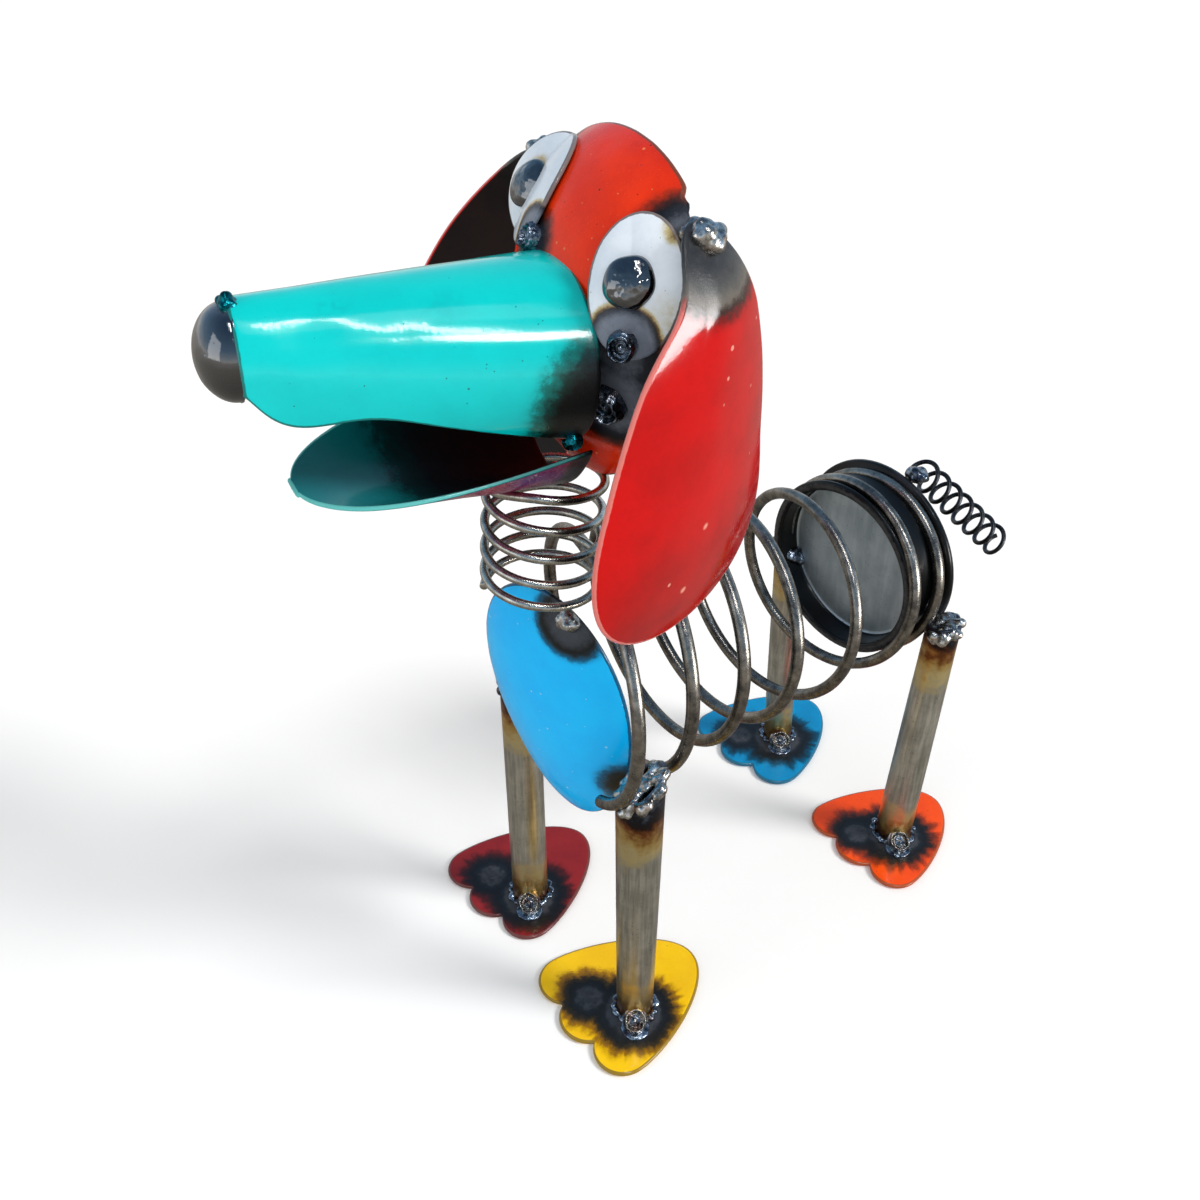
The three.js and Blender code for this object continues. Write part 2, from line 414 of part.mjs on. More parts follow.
function circleMeet(a, ra, b, rb) {
  // lower crossing of two circles
  const dx = b[0] - a[0], dy = b[1] - a[1], d = Math.hypot(dx, dy), k = (ra * ra - rb * rb + d * d) / (2 * d), h = Math.sqrt(ra * ra - k * k);
  const p = [a[0] + (k * dx) / d, a[1] + (k * dy) / d], q1 = [p[0] + (h * dy) / d, p[1] - (h * dx) / d], q2 = [p[0] - (h * dy) / d, p[1] + (h * dx) / d];
  return q1[1] < q2[1] ? q1 : q2;
}
function pawShape() {
  const { heel, toeR, midR, toeX, toeY, midY } = PAW;
  const L = [-toeX, toeY], M = [0, midY], R = [toeX, toeY], meetR = circleMeet(M, midR, R, toeR), meetL = circleMeet(L, toeR, M, midR);
  const ang = (c, p) => Math.atan2(p[1] - c[1], p[0] - c[0]);
  const s = new THREE.Shape();
  s.moveTo(-toeX - toeR, toeY);
  s.bezierCurveTo(-toeX - toeR, toeY + 17, -17, heel, 0, heel);
  s.bezierCurveTo(17, heel, toeX + toeR, toeY + 17, toeX + toeR, toeY);
  s.absarc(R[0], R[1], toeR, 0, ang(R, meetR), true);
  s.absarc(M[0], M[1], midR, ang(M, meetR), ang(M, meetL), true);
  s.absarc(L[0], L[1], toeR, ang(L, meetL), -Math.PI, true);
  return s;
}
const paw = (name) => new THREE.ExtrudeGeometry(pawShape(), { depth: PAW.thick, bevelEnabled: false, curveSegments: 5 }).scale(PAWS[name].size, PAWS[name].size, 1).rotateZ(PAWS[name].turn * DEG).translate(...PAWS[name].at, 0);

// ---------- colours ----------
const paint = (color, roughness = 0.28, metalness = 0.1) => new THREE.MeshStandardMaterial({ color, roughness, metalness });
const steel = (color = 0x6d6a64, roughness = 0.42) => new THREE.MeshStandardMaterial({ color, roughness, metalness: 0.85 });
const ORANGE = paint(0xe8390a), TURQUOISE = paint(0x12c4b8), RED = paint(0xc01208), SKY = paint(0x1297e0), WHITE = paint(0xd9dde6), BLACK = paint(0x151517, 0.2, 0.4), MAROON = paint(0x3a1622, 0.35, 0.3), BROWN = paint(0x241210, 0.4, 0.3);
const WELD = steel(0x9a9a98, 0.3);
const YELLOW = paint(0xf2cf10), DARKRED = paint(0x8e1a1c), PAW_ORANGE = paint(0xf0480a), PAW_BLUE = paint(0x0f86c4);

// ---------- the sculpture ----------
const hound = new THREE.Group();
hound.name = "scrap_metal_hound";
const inner = new THREE.Group();
hound.add(inner);
const made = {};
const put = (name, geometry, material) => {
  made[name] = geometry;
  const mesh = new THREE.Mesh(geometry, material);
  mesh.name = name;
  inner.add(mesh);
};

const leaning = {
  head: headBlock(CLEAR), spring: bodySpring(CLEAR), chest: chest(CLEAR), drum: drumBlock(CLEAR), neck: neckSpring(CLEAR), tail: tailSpring(CLEAR),
  snout: snout(CLEAR), jaw: jaw(CLEAR), nose: nose(CLEAR), earL: ear("left", CLEAR), earR: ear("right", CLEAR), eyeL: eyePlate("left", CLEAR), eyeR: eyePlate("right", CLEAR),
  legFL: legBlock("front_left", CLEAR), legFR: legBlock("front_right", CLEAR), legRL: legBlock("rear_left", CLEAR), legRR: legBlock("rear_right", CLEAR),
};

put("head_shell", headPlate(), ORANGE);
put("eye_plate_left", eyePlate("left"), WHITE);
put("eye_plate_right", eyePlate("right"), WHITE);
put("pupil_left", pupil("left"), BLACK);
put("pupil_right", pupil("right"), BLACK);
put("snout", cut(snout(), leaning.head), TURQUOISE);
put("jaw", cut(jaw(), leaning.head, snout(GAP)), MAROON);
put("nose", nose(), BLACK);
put("ear_left", cut(ear("left"), headBlock(CLEAR, 2)), RED);
put("ear_right", cut(ear("right"), headBlock(CLEAR, 2)), BROWN);
put("neck_spring", cut(neckSpring(), jaw(GAP), leaning.head, leaning.spring), steel(0x8a8780));
put("chest_plate", cut(chest(), neckSpring(GAP), leaning.spring), SKY);
put("body_spring", bodySpring(), steel(0x55534f));
put("rear_drum", cut(drum(), leaning.spring), BLACK);
put("tail_spring", cut(tailSpring(), drumBlock()), steel(0x2c2c2c));
for (const name of Object.keys(LEGS)) put("leg_" + name, cut(leg(name), leaning.spring, leaning.chest, drumBlock(GAP)), steel(0x777468));
put("foot_front_left", paw("front_left"), YELLOW);
put("foot_front_right", paw("front_right"), DARKRED);
put("foot_rear_left", paw("rear_left"), PAW_ORANGE);
put("foot_rear_right", paw("rear_right"), PAW_BLUE);
// a weld is cut back by its neighbours, both grown and as made
const NODE_OF = {
  head: "head_shell", spring: "body_spring", chest: "chest_plate", drum: "rear_drum", neck: "neck_spring", tail: "tail_spring", snout: "snout", jaw: "jaw", nose: "nose",
  earL: "ear_left", earR: "ear_right", eyeL: "eye_plate_left", eyeR: "eye_plate_right", legFL: "leg_front_left", legFR: "leg_front_right", legRL: "leg_rear_left", legRR: "leg_rear_right",
};
const around = (b) => [...b.near.map((k) => leaning[k]), ...b.near.map((k) => made[NODE_OF[k]])];
for (const [name, b] of Object.entries(BEADS)) put("weld_" + name, cut(lump(b), ...around(b)), WELD);
for (const [name, b] of Object.entries(PLUGS)) put("weld_" + name, cut(plug(b), ...around(b)), WELD);
for (const name of Object.keys(LEGS)) put("weld_foot_" + name, footBead(name), WELD);

// the part's origin is the middle of its footprint box, on the ground
const box = new THREE.Box3().setFromObject(inner);
inner.position.set(-(box.min.x + box.max.x) / 2, -(box.min.y + box.max.y) / 2, 0);

export default hound;
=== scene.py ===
import math

import bpy
import numpy as np
from mathutils import Matrix, Vector


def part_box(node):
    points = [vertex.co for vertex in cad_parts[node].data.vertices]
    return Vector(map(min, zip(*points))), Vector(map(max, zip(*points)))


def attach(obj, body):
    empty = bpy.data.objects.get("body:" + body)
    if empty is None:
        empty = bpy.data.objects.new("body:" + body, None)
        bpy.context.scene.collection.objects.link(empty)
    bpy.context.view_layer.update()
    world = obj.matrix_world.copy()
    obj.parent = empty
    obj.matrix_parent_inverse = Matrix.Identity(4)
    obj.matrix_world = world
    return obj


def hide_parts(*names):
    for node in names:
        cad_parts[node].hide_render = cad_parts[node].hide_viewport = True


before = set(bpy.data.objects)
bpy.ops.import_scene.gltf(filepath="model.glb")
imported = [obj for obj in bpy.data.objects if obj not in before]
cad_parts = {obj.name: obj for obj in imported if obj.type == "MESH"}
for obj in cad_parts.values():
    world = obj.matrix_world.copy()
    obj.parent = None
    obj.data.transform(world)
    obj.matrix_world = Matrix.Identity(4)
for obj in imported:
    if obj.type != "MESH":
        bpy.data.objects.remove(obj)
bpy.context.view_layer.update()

DEG = math.pi / 180
TAU = 2 * math.pi

# ------------------------------------------------------------------ frame
# The shapes are written in the same layout coordinates as the solids, in mm.
# The drum's box gives the shift from the layout to the part's own origin.
DRUM = dict(x=-3.4, y=37.0, z=141.0, depth=26.0, radius=37.6, wall=1.8, web=11.0, lip=2.6, lip_wide=2.4, flange=4.4, flange_wide=2.6)
_lo, _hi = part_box("rear_drum")
OFF = np.array([(_lo.x + _hi.x) * 500 - DRUM["x"], _lo.y * 1000 - DRUM["y"], 0.0])


def metres(p):
    return (np.asarray(p, float) + OFF) / 1000.0


# ------------------------------------------------------------------ small maths
def srgb(r, g, b):
    c = np.array([r, g, b], float) / 255.0
    c = np.where(c <= 0.04045, c / 12.92, ((c + 0.055) / 1.055) ** 2.4)
    return (float(c[0]), float(c[1]), float(c[2]), 1.0)


def smooth(x, lo, hi):
    t = np.clip((np.asarray(x, float) - lo) / (hi - lo), 0, 1)
    return t * t * (3 - 2 * t)


def _hash(ix, iy, iz, seed):
    h = (ix.astype(np.int64) * 374761393 + iy.astype(np.int64) * 668265263 + iz.astype(np.int64) * 2147483647 + seed * 144269) & 0xFFFFFFFF
    h = ((h ^ (h >> 13)) * 1274126177) & 0xFFFFFFFF
    h = ((h ^ (h >> 16)) * 2246822519) & 0xFFFFFFFF
    return ((h ^ (h >> 15)) & 0xFFFFFF) / float(0xFFFFFF)


def noise(p, freq, seed=0):
    """Smooth value noise from 0 to 1."""
    q = np.asarray(p, float) * freq + 57.3
    i = np.floor(q).astype(np.int64)
    f = q - i
    f = f * f * (3 - 2 * f)
    out = 0
    for dx in (0, 1):
        for dy in (0, 1):
            for dz in (0, 1):
                w = (f[..., 0] if dx else 1 - f[..., 0]) * (f[..., 1] if dy else 1 - f[..., 1]) * (f[..., 2] if dz else 1 - f[..., 2])
                out = out + w * _hash(i[..., 0] + dx, i[..., 1] + dy, i[..., 2] + dz, seed)
    return out


def fbm(p, freq, octaves=3, seed=0):
    total, amp, norm = 0, 1.0, 0.0
    for k in range(octaves):
        total = total + amp * noise(p, freq * 2 ** k, seed + 17 * k)
        norm += amp
        amp *= 0.5
    return total / norm


def spline(knots):
    t = np.array([k[0] for k in knots], float)
    v = np.array([k[1] for k in knots], float)
    n = len(t)
    a, b, m = np.zeros(n), np.zeros(n), np.zeros(n)
    for i in range(1, n - 1):
        h0, h1 = t[i] - t[i - 1], t[i + 1] - t[i]
        p = 2 * (h0 + h1) - h0 * a[i - 1]
        a[i] = h1 / p
        b[i] = (6 * ((v[i + 1] - v[i]) / h1 - (v[i] - v[i - 1]) / h0) - h0 * b[i - 1]) / p
    for i in range(n - 2, 0, -1):
        m[i] = b[i] - a[i] * m[i + 1]

    def f(x):
        x = np.asarray(x, float)
        i = np.clip(np.searchsorted(t, x, side="left") - 1, 0, n - 2)
        h = t[i + 1] - t[i]
        p, q = (t[i + 1] - x) / h, (x - t[i]) / h
        return p * v[i] + q * v[i + 1] + ((p ** 3 - p) * m[i] + (q ** 3 - q) * m[i + 1]) * h * h / 6

    return f


def unit(v):
    v = np.asarray(v, float)
    return v / np.maximum(np.linalg.norm(v, axis=-1, keepdims=True), 1e-12)


def pose_matrix(at, yaw=0.0, pitch=0.0, roll=0.0, **_):
    cy, sy = math.cos(yaw * DEG), math.sin(yaw * DEG)
    cp, sp = math.cos(pitch * DEG), math.sin(pitch * DEG)
    cr, sr = math.cos(roll * DEG), math.sin(roll * DEG)
    z = np.array([[cy, sy, 0], [-sy, cy, 0], [0, 0, 1]])
    x = np.array([[1, 0, 0], [0, cp, sp], [0, -sp, cp]])
    y = np.array([[cr, 0, sr], [0, 1, 0], [-sr, 0, cr]])
    return z @ x @ y, np.array(at, float)


def plate_matrix(at, az, el, rot=0.0, **_):
    n = np.array([math.sin(az * DEG) * math.cos(el * DEG), -math.cos(az * DEG) * math.cos(el * DEG), math.sin(el * DEG)])
    s0 = np.array([math.cos(az * DEG), math.sin(az * DEG), 0])
    w0 = np.cross(n, s0)
    c, k = math.cos(rot * DEG), math.sin(rot * DEG)
    return np.stack([s0 * c + w0 * k, -n, -s0 * k + w0 * c], 1), np.array(at, float)


def place(p, m):
    return p @ m[0].T + m[1]


def unplace(p, m):
    return (p - m[1]) @ m[0]


# ------------------------------------------------------------------ mesh building
def make_object(name, verts, faces, mats=(), index=None, attrs=None, sharp=None):
    """verts in layout mm; mats are materials and index gives each face's."""
    me = bpy.data.meshes.new(name)
    v = metres(verts)
    me.vertices.add(len(v))
    me.vertices.foreach_set("co", v.astype(np.float32).ravel())
    sizes = np.array([len(f) for f in faces])
    flat = np.concatenate([np.asarray(f, np.int32) for f in faces]) if len(faces) else np.zeros(0, np.int32)
    me.loops.add(int(sizes.sum()))
    me.loops.foreach_set("vertex_index", flat.astype(np.int32))
    me.polygons.add(len(faces))
    me.polygons.foreach_set("loop_start", np.concatenate([[0], np.cumsum(sizes)[:-1]]).astype(np.int32))
    me.polygons.foreach_set("loop_total", sizes.astype(np.int32))
    for m in mats:
        me.materials.append(m)
    if index is not None:
        me.polygons.foreach_set("material_index", np.asarray(index, np.int32))
    me.update(calc_edges=True)
    me.validate(clean_customdata=False)
    me.polygons.foreach_set("use_smooth", np.ones(len(me.polygons), bool))
    for key, val in (attrs or {}).items():
        a = me.attributes.new(key, "FLOAT", "POINT")
        a.data.foreach_set("value", np.asarray(val, np.float32))
    o = bpy.data.objects.new(name, me)
    bpy.context.scene.collection.objects.link(o)
    if sharp:
        me.set_sharp_from_angle(angle=sharp * DEG)
    return o


def finish_piece(o, slot, *nodes):
    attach(o, "root")
    if nodes:
        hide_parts(*nodes)
    return o


def derivs(f, u, v, e=1e-3, closed=False):
    u0, u1 = np.maximum(u - e, 0), np.minimum(u + e, 1)
    if closed:
        v0, v1 = v - e, v + e
    else:
        v0, v1 = np.maximum(v - e, 0), np.minimum(v + e, 1)
    return f(u1, v) - f(u0, v), f(u, v1) - f(u, v0)


class Sheet:
    """A curved plate of even thickness with a rounded rim.
    f(u, v) is its outer face. A closed sheet is polar: u runs from the middle to the rim."""

    def __init__(self, f, nu, nv, thick, closed, dent=None, rim_steps=4, back=None):
        self.closed = closed
        e = 1e-3
        us = np.linspace(0, 1, nu + 1)
        vs = np.arange(nv) / nv if closed else np.linspace(0, 1, nv + 1)
        U, W = np.meshgrid(us, vs, indexing="ij")
        Uc = np.maximum(U, 0.012) if closed else U
        P = f(U, W)
        du, dv = derivs(f, Uc, W, e, closed)
        N = unit(np.cross(du, dv))
        if closed:
            N[0] = unit(N[0].mean(0))
            P[0] = P[0].mean(0)
        if dent is not None:
            P = P + N * dent(P, U, W)[..., None]
            # normals again from the grid itself
            if closed:
                gu = np.gradient(P, axis=0)
                gv = np.roll(P, -1, 1) - np.roll(P, 1, 1)
            else:
                gu, gv = np.gradient(P, axis=0), np.gradient(P, axis=1)
            N2 = unit(np.cross(gu, gv))
            if closed:
                N2[0] = unit(N2[1].mean(0))
            N = N2
        cols = P.shape[1]
        # rim loop: grid indexes in order, with the outward direction of each
        if closed:
            loop = [(nu, j) for j in range(cols)]
            out = unit(np.gradient(P, axis=0)[-1])
            outs = [out[j] for j in range(cols)]
        else:
            gu, gv = unit(np.gradient(P, axis=0)), unit(np.gradient(P, axis=1))
            loop, outs = [], []
            for i in range(nu):
                loop.append((i, 0)); outs.append(unit(-gv[i, 0] - (gu[i, 0] if i == 0 else 0)))
            for j in range(nv):
                loop.append((nu, j)); outs.append(unit(gu[nu, j] - (gv[nu, j] if j == 0 else 0)))
            for i in range(nu, 0, -1):
                loop.append((i, nv)); outs.append(unit(gv[i, nv] + (gu[i, nv] if i == nu else 0)))
            for j in range(nv, 0, -1):
                loop.append((0, j)); outs.append(unit(-gu[0, j] + (gv[0, j] if j == nv else 0)))
        outs = np.array(outs)
        LP = np.array([P[i, j] for i, j in loop])
        LN = np.array([N[i, j] for i, j in loop])
        verts = [P.reshape(-1, 3), (P - N * thick).reshape(-1, 3)]
        n0 = P.shape[0] * cols
        self.us, self.vs = U.ravel(), W.ravel()
        side = [np.zeros(n0), np.ones(n0)]
        uu, vv = [U.ravel()] * 2, [W.ravel()] * 2
        nn = [N.reshape(-1, 3), -N.reshape(-1, 3)]
        rings = []
        base = 2 * n0
        for k in range(1, rim_steps):
            a = math.pi * k / rim_steps
            verts.append(LP - LN * thick / 2 + LN * math.cos(a) * thick / 2 + outs * math.sin(a) * thick / 2)
            rings.append(base + (k - 1) * len(loop))
            side.append(np.full(len(loop), k / rim_steps))
            uu.append(np.array([U[i, j] for i, j in loop])); vv.append(np.array([W[i, j] for i, j in loop]))
            nn.append(outs)
        self.verts = np.concatenate(verts)
        self.side, self.u, self.v = np.concatenate(side), np.concatenate(uu), np.concatenate(vv)
        self.normal = np.concatenate(nn)
        faces, index = [], []
        vid = lambda s, i, j: s * n0 + i * cols + (j % cols if closed else j)
        last = cols if closed else cols - 1
        I, J = np.meshgrid(np.arange(nu), np.arange(last), indexing="ij")
        I, J = I.ravel(), J.ravel()
        a, b = I * cols + J, (I + 1) * cols + J
        c, d = (I + 1) * cols + (J + 1) % cols, I * cols + (J + 1) % cols
        quads = np.stack([a, b, c, d], 1)
        if closed:
            first = I == 0
            tri = np.stack([np.zeros(first.sum(), int), b[first], c[first]], 1)
            # every pole vertex is welded to index 0
            quads = quads[~first]
            faces += [list(t) for t in tri] + [list(q) for q in quads]
            index += [0] * (len(tri) + len(quads))
            faces += [[t[0] + n0, t[2] + n0, t[1] + n0] for t in tri] + [[q[0] + n0, q[3] + n0, q[2] + n0, q[1] + n0] for q in quads]
            index += [1] * (len(tri) + len(quads))
        else:
            faces += [list(q) for q in quads]
            faces += [[q[0] + n0, q[3] + n0, q[2] + n0, q[1] + n0] for q in quads]
            index += [0] * len(quads) + [1] * len(quads)
        L = len(loop)
        flat = [i * cols + j for i, j in loop]
        chain = [flat] + [[r + k for k in range(L)] for r in rings] + [[x + n0 for x in flat]]
        for k in range(len(chain) - 1):
            A, B = chain[k], chain[k + 1]
            for q in range(L):
                p = (q + 1) % L
                faces.append([A[q], B[q], B[p], A[p]])
                index.append(2)
        self.faces, self.index = faces, index
        self.loop_points = LP
        # distance from the rim, over the surface, in mm (capped)
        d = np.full(len(self.verts), 99.0)
        step = max(1, len(LP) // 500)
        R = LP[::step]
        for s in range(0, len(self.verts), 4000):
            q = self.verts[s:s + 4000]
            d[s:s + 4000] = np.sqrt(((q[:, None] - R[None]) ** 2).sum(-1)).min(1)
        self.edge = np.maximum(0, d - (0 if closed else 0))
        self.edge[self.side > 0.001] = np.where(self.side[self.side > 0.001] < 0.999, 0, self.edge[self.side > 0.001])

    def build(self, name, mats, attrs=None):
        data = {"edge": self.edge, "side": self.side}
        data.update(attrs or {})
        keep = np.ones(len(self.verts), bool)
        verts, faces = self.verts, self.faces
        if self.closed:
            # drop the unused copies of the pole
            used = np.zeros(len(verts), bool)
            for f in faces:
                used[f] = True
            remap = np.cumsum(used) - 1
            verts = verts[used]
            faces = [[int(remap[i]) for i in f] for f in faces]
            data = {k: np.asarray(v)[used] for k, v in data.items()}
        return make_object(name, verts, faces, mats, self.index, data)


def tube(points, radius, sides, closed_ends=True):
    """A round wire along points, with bevelled ends. Returns verts, faces, length along, angle."""
    P = np.asarray(points, float)
    T = unit(np.gradient(P, axis=0))
    n = len(P)
    X = np.zeros((n, 3))
    a = np.cross(T[0], [0, 0, 1.0])
    if np.linalg.norm(a) < 1e-3:
        a = np.cross(T[0], [1.0, 0, 0])
    X[0] = unit(a)
    for i in range(1, n):
        x = X[i - 1] - T[i] * (X[i - 1] @ T[i])
        X[i] = unit(x)
    Y = np.cross(T, X)
    R = radius if np.ndim(radius) else np.full(n, radius)
    th = np.arange(sides) / sides * TAU
    ring = P[:, None] + R[:, None, None] * (X[:, None] * np.cos(th)[None, :, None] + Y[:, None] * np.sin(th)[None, :, None])
    s = np.concatenate([[0], np.cumsum(np.linalg.norm(np.diff(P, axis=0), axis=1))])
    verts = [ring.reshape(-1, 3)]
    along = [np.repeat(s, sides)]
    ang = [np.tile(th, n)]
    I, J = np.meshgrid(np.arange(n - 1), np.arange(sides), indexing="ij")
    I, J = I.ravel(), J.ravel()
    a, b, c, d = I * sides + J, I * sides + (J + 1) % sides, (I + 1) * sides + (J + 1) % sides, (I + 1) * sides + J
    faces = [list(q) for q in np.stack([a, b, c, d], 1)]
    base = n * sides
    for end in (0, 1):
        k = 0 if end == 0 else n - 1
        t = -T[k] if end == 0 else T[k]
        bev = 0.12 * R[k]
        rim = P[k] + t * bev + (R[k] - bev) * (X[k] * np.cos(th)[:, None] + Y[k] * np.sin(th)[:, None])
        verts += [rim, (P[k] + t * bev)[None]]
        along += [np.full(sides, s[k]), [s[k]]]
        ang += [th, [0.0]]
        r0 = k * sides
        for j in range(sides):
            j2 = (j + 1) % sides
            if end == 0:
                faces += [[r0 + j2, r0 + j, base + j, base + j2], [base + j2, base + j, base + sides]]
            else:
                faces += [[r0 + j, r0 + j2, base + j2, base + j], [base + j, base + j2, base + sides]]
        base += sides + 1
    return np.concatenate(verts), faces, np.concatenate(along), np.concatenate(ang)


def lathe(profile, segs, m=None):
    """profile [(r, h)] turned about local Y (h along Y); m = (rotation, shift)."""
    pr = np.array(profile, float)
    th = np.arange(segs) / segs * TAU
    verts = np.stack([pr[:, None, 0] * np.cos(th)[None], np.repeat(pr[:, None, 1], segs, 1), pr[:, None, 0] * np.sin(th)[None]], -1).reshape(-1, 3)
    faces = []
    n = len(pr)
    for i in range(n - 1):
        for j in range(segs):
            j2 = (j + 1) % segs
            faces.append([i * segs + j, i * segs + j2, (i + 1) * segs + j2, (i + 1) * segs + j])
    if m is not None:
        verts = place(verts, m)
    return verts, faces, np.repeat(pr[:, 0], segs), np.repeat(pr[:, 1], segs)


def balls_mesh(balls, voxel=0.4, relax=2, name="tmp"):
    """One skin over many overlapping balls (centre, radius or three radii), from a voxel remesh. Layout mm in and out."""
    me = bpy.data.meshes.new(name)
    import bmesh
    bm = bmesh.new()
    for c, r in balls:
        r = (r, r, r) if np.ndim(r) == 0 else r
        mat = Matrix.Translation(Vector(c) / 1000) @ Matrix.Diagonal(Vector((r[0] / 1000, r[1] / 1000, r[2] / 1000, 1)))
        bmesh.ops.create_icosphere(bm, subdivisions=2, radius=1.0, matrix=mat)
    bm.to_mesh(me)
    bm.free()
    o = bpy.data.objects.new(name, me)
    bpy.context.scene.collection.objects.link(o)
    r = o.modifiers.new("r", "REMESH")
    r.mode = "VOXEL"
    r.voxel_size = voxel / 1000
    if relax:
        s = o.modifiers.new("s", "SMOOTH")
        s.iterations = relax
        s.factor = 0.5
    dg = bpy.context.evaluated_depsgraph_get()
    ev = o.evaluated_get(dg)
    m2 = bpy.data.meshes.new_from_object(ev)
    co = np.zeros(len(m2.vertices) * 3)
    m2.vertices.foreach_get("co", co)
    no = np.zeros(len(m2.vertices) * 3)
    m2.vertices.foreach_get("normal", no)
    faces = [list(p.vertices) for p in m2.polygons]
    bpy.data.objects.remove(o)
    bpy.data.meshes.remove(me)
    out = co.reshape(-1, 3) * 1000, no.reshape(-1, 3), faces
    bpy.data.meshes.remove(m2)
    return out


# ------------------------------------------------------------------ shader nodes
def fill_ramp(el, stops):
    while len(el) > 1:
        el.remove(el[-1])
    el[0].position, el[0].color = stops[0]
    for p, c in stops[1:]:
        el.new(p).color = c


class Graph:
    def __init__(self, name):
        self.mat = bpy.data.materials.new(name)
        self.mat.use_nodes = True
        self.t = self.mat.node_tree
        self.t.nodes.clear()
        self.out = self.t.nodes.new("ShaderNodeOutputMaterial")
        self.p = self.t.nodes.new("ShaderNodeBsdfPrincipled")
        self.t.links.new(self.p.outputs[0], self.out.inputs[0])
        tc = self.t.nodes.new("ShaderNodeTexCoord")
        mm = self.node("ShaderNodeVectorMath", operation="MULTIPLY")
        self.t.links.new(tc.outputs["Object"], mm.inputs[0])
        mm.inputs[1].default_value = (1000, 1000, 1000)
        self.pos = mm.outputs[0]

    def node(self, kind, **kw):
        n = self.t.nodes.new(kind)
        for k, v in kw.items():
            setattr(n, k, v)
        return n

    def set(self, sock, v):
        if isinstance(v, bpy.types.NodeSocket):
            self.t.links.new(v, sock)
        elif v is not None:
            sock.default_value = v

    def attr(self, name):
        return self.node("ShaderNodeAttribute", attribute_name=name).outputs["Fac"]

    def math(self, op, a, b=None, c=None, clamp=False):
        n = self.node("ShaderNodeMath", operation=op, use_clamp=clamp)
        self.set(n.inputs[0], a)
        self.set(n.inputs[1], b)
        self.set(n.inputs[2], c)
        return n.outputs[0]

    def add(self, a, b, **k): return self.math("ADD", a, b, **k)
    def mul(self, a, b, **k): return self.math("MULTIPLY", a, b, **k)
    def sub(self, a, b, **k): return self.math("SUBTRACT", a, b, **k)
    def mx(self, a, b): return self.math("MAXIMUM", a, b)
    def mn(self, a, b): return self.math("MINIMUM", a, b)

    def step(self, x, lo, hi, a=0.0, b=1.0, kind="SMOOTHSTEP"):
        n = self.node("ShaderNodeMapRange", interpolation_type=kind)
        self.set(n.inputs[0], x)
        if lo > hi:
            lo, hi, a, b = hi, lo, b, a
        n.inputs[1].default_value, n.inputs[2].default_value, n.inputs[3].default_value, n.inputs[4].default_value = lo, hi, a, b
        return n.outputs[0]

    def vec(self, v, scale):
        n = self.node("ShaderNodeVectorMath", operation="MULTIPLY")
        self.set(n.inputs[0], v)
        n.inputs[1].default_value = scale
        return n.outputs[0]

    def noise(self, scale, detail=2.0, rough=0.5, vec=None, distortion=0.0, color=False):
        n = self.node("ShaderNodeTexNoise")
        self.set(n.inputs["Vector"], vec if vec is not None else self.pos)
        n.inputs["Scale"].default_value = scale
        n.inputs["Detail"].default_value = detail
        n.inputs["Roughness"].default_value = rough
        n.inputs["Distortion"].default_value = distortion
        return n.outputs["Color" if color else "Fac"]

    def voronoi(self, scale, vec=None, feature="F1", random=1.0):
        n = self.node("ShaderNodeTexVoronoi", feature=feature)
        self.set(n.inputs["Vector"], vec if vec is not None else self.pos)
        n.inputs["Scale"].default_value = scale
        n.inputs["Randomness"].default_value = random
        return n

    def ramp(self, fac, stops, interp="LINEAR"):
        n = self.node("ShaderNodeValToRGB")
        n.color_ramp.interpolation = interp
        fill_ramp(n.color_ramp.elements, stops)
        self.set(n.inputs[0], fac)
        return n.outputs[0]

    def mix(self, fac, a, b, blend="MIX"):
        n = self.node("ShaderNodeMix", data_type="RGBA", blend_type=blend, clamp_result=False)
        self.set(n.inputs[0], fac)
        self.set(n.inputs[6], a)
        self.set(n.inputs[7], b)
        return n.outputs[2]

    def bump(self, height, strength=0.3, distance=0.0005, normal=None):
        n = self.node("ShaderNodeBump")
        n.inputs["Strength"].default_value = strength
        n.inputs["Distance"].default_value = distance
        self.set(n.inputs["Height"], height)
        if normal is not None:
            self.set(n.inputs["Normal"], normal)
        return n.outputs[0]

    def shader(self, **kw):
        for k, v in kw.items():
            self.set(self.p.inputs[k.replace("_", " ")], v)
        return self.mat


def specks(g, scale, keep, size, vec=None):
    """Sparse small round marks: keep is the share of cells that has one."""
    v = g.voronoi(scale, vec)
    pick = g.node("ShaderNodeSeparateColor")
    g.set(pick.inputs[0], v.outputs["Color"])
    chosen = g.step(pick.outputs[0], 1 - keep - 0.001, 1 - keep + 0.001)
    dot = g.step(v.outputs["Distance"], size, size * 0.55)
    return g.mul(chosen, dot)


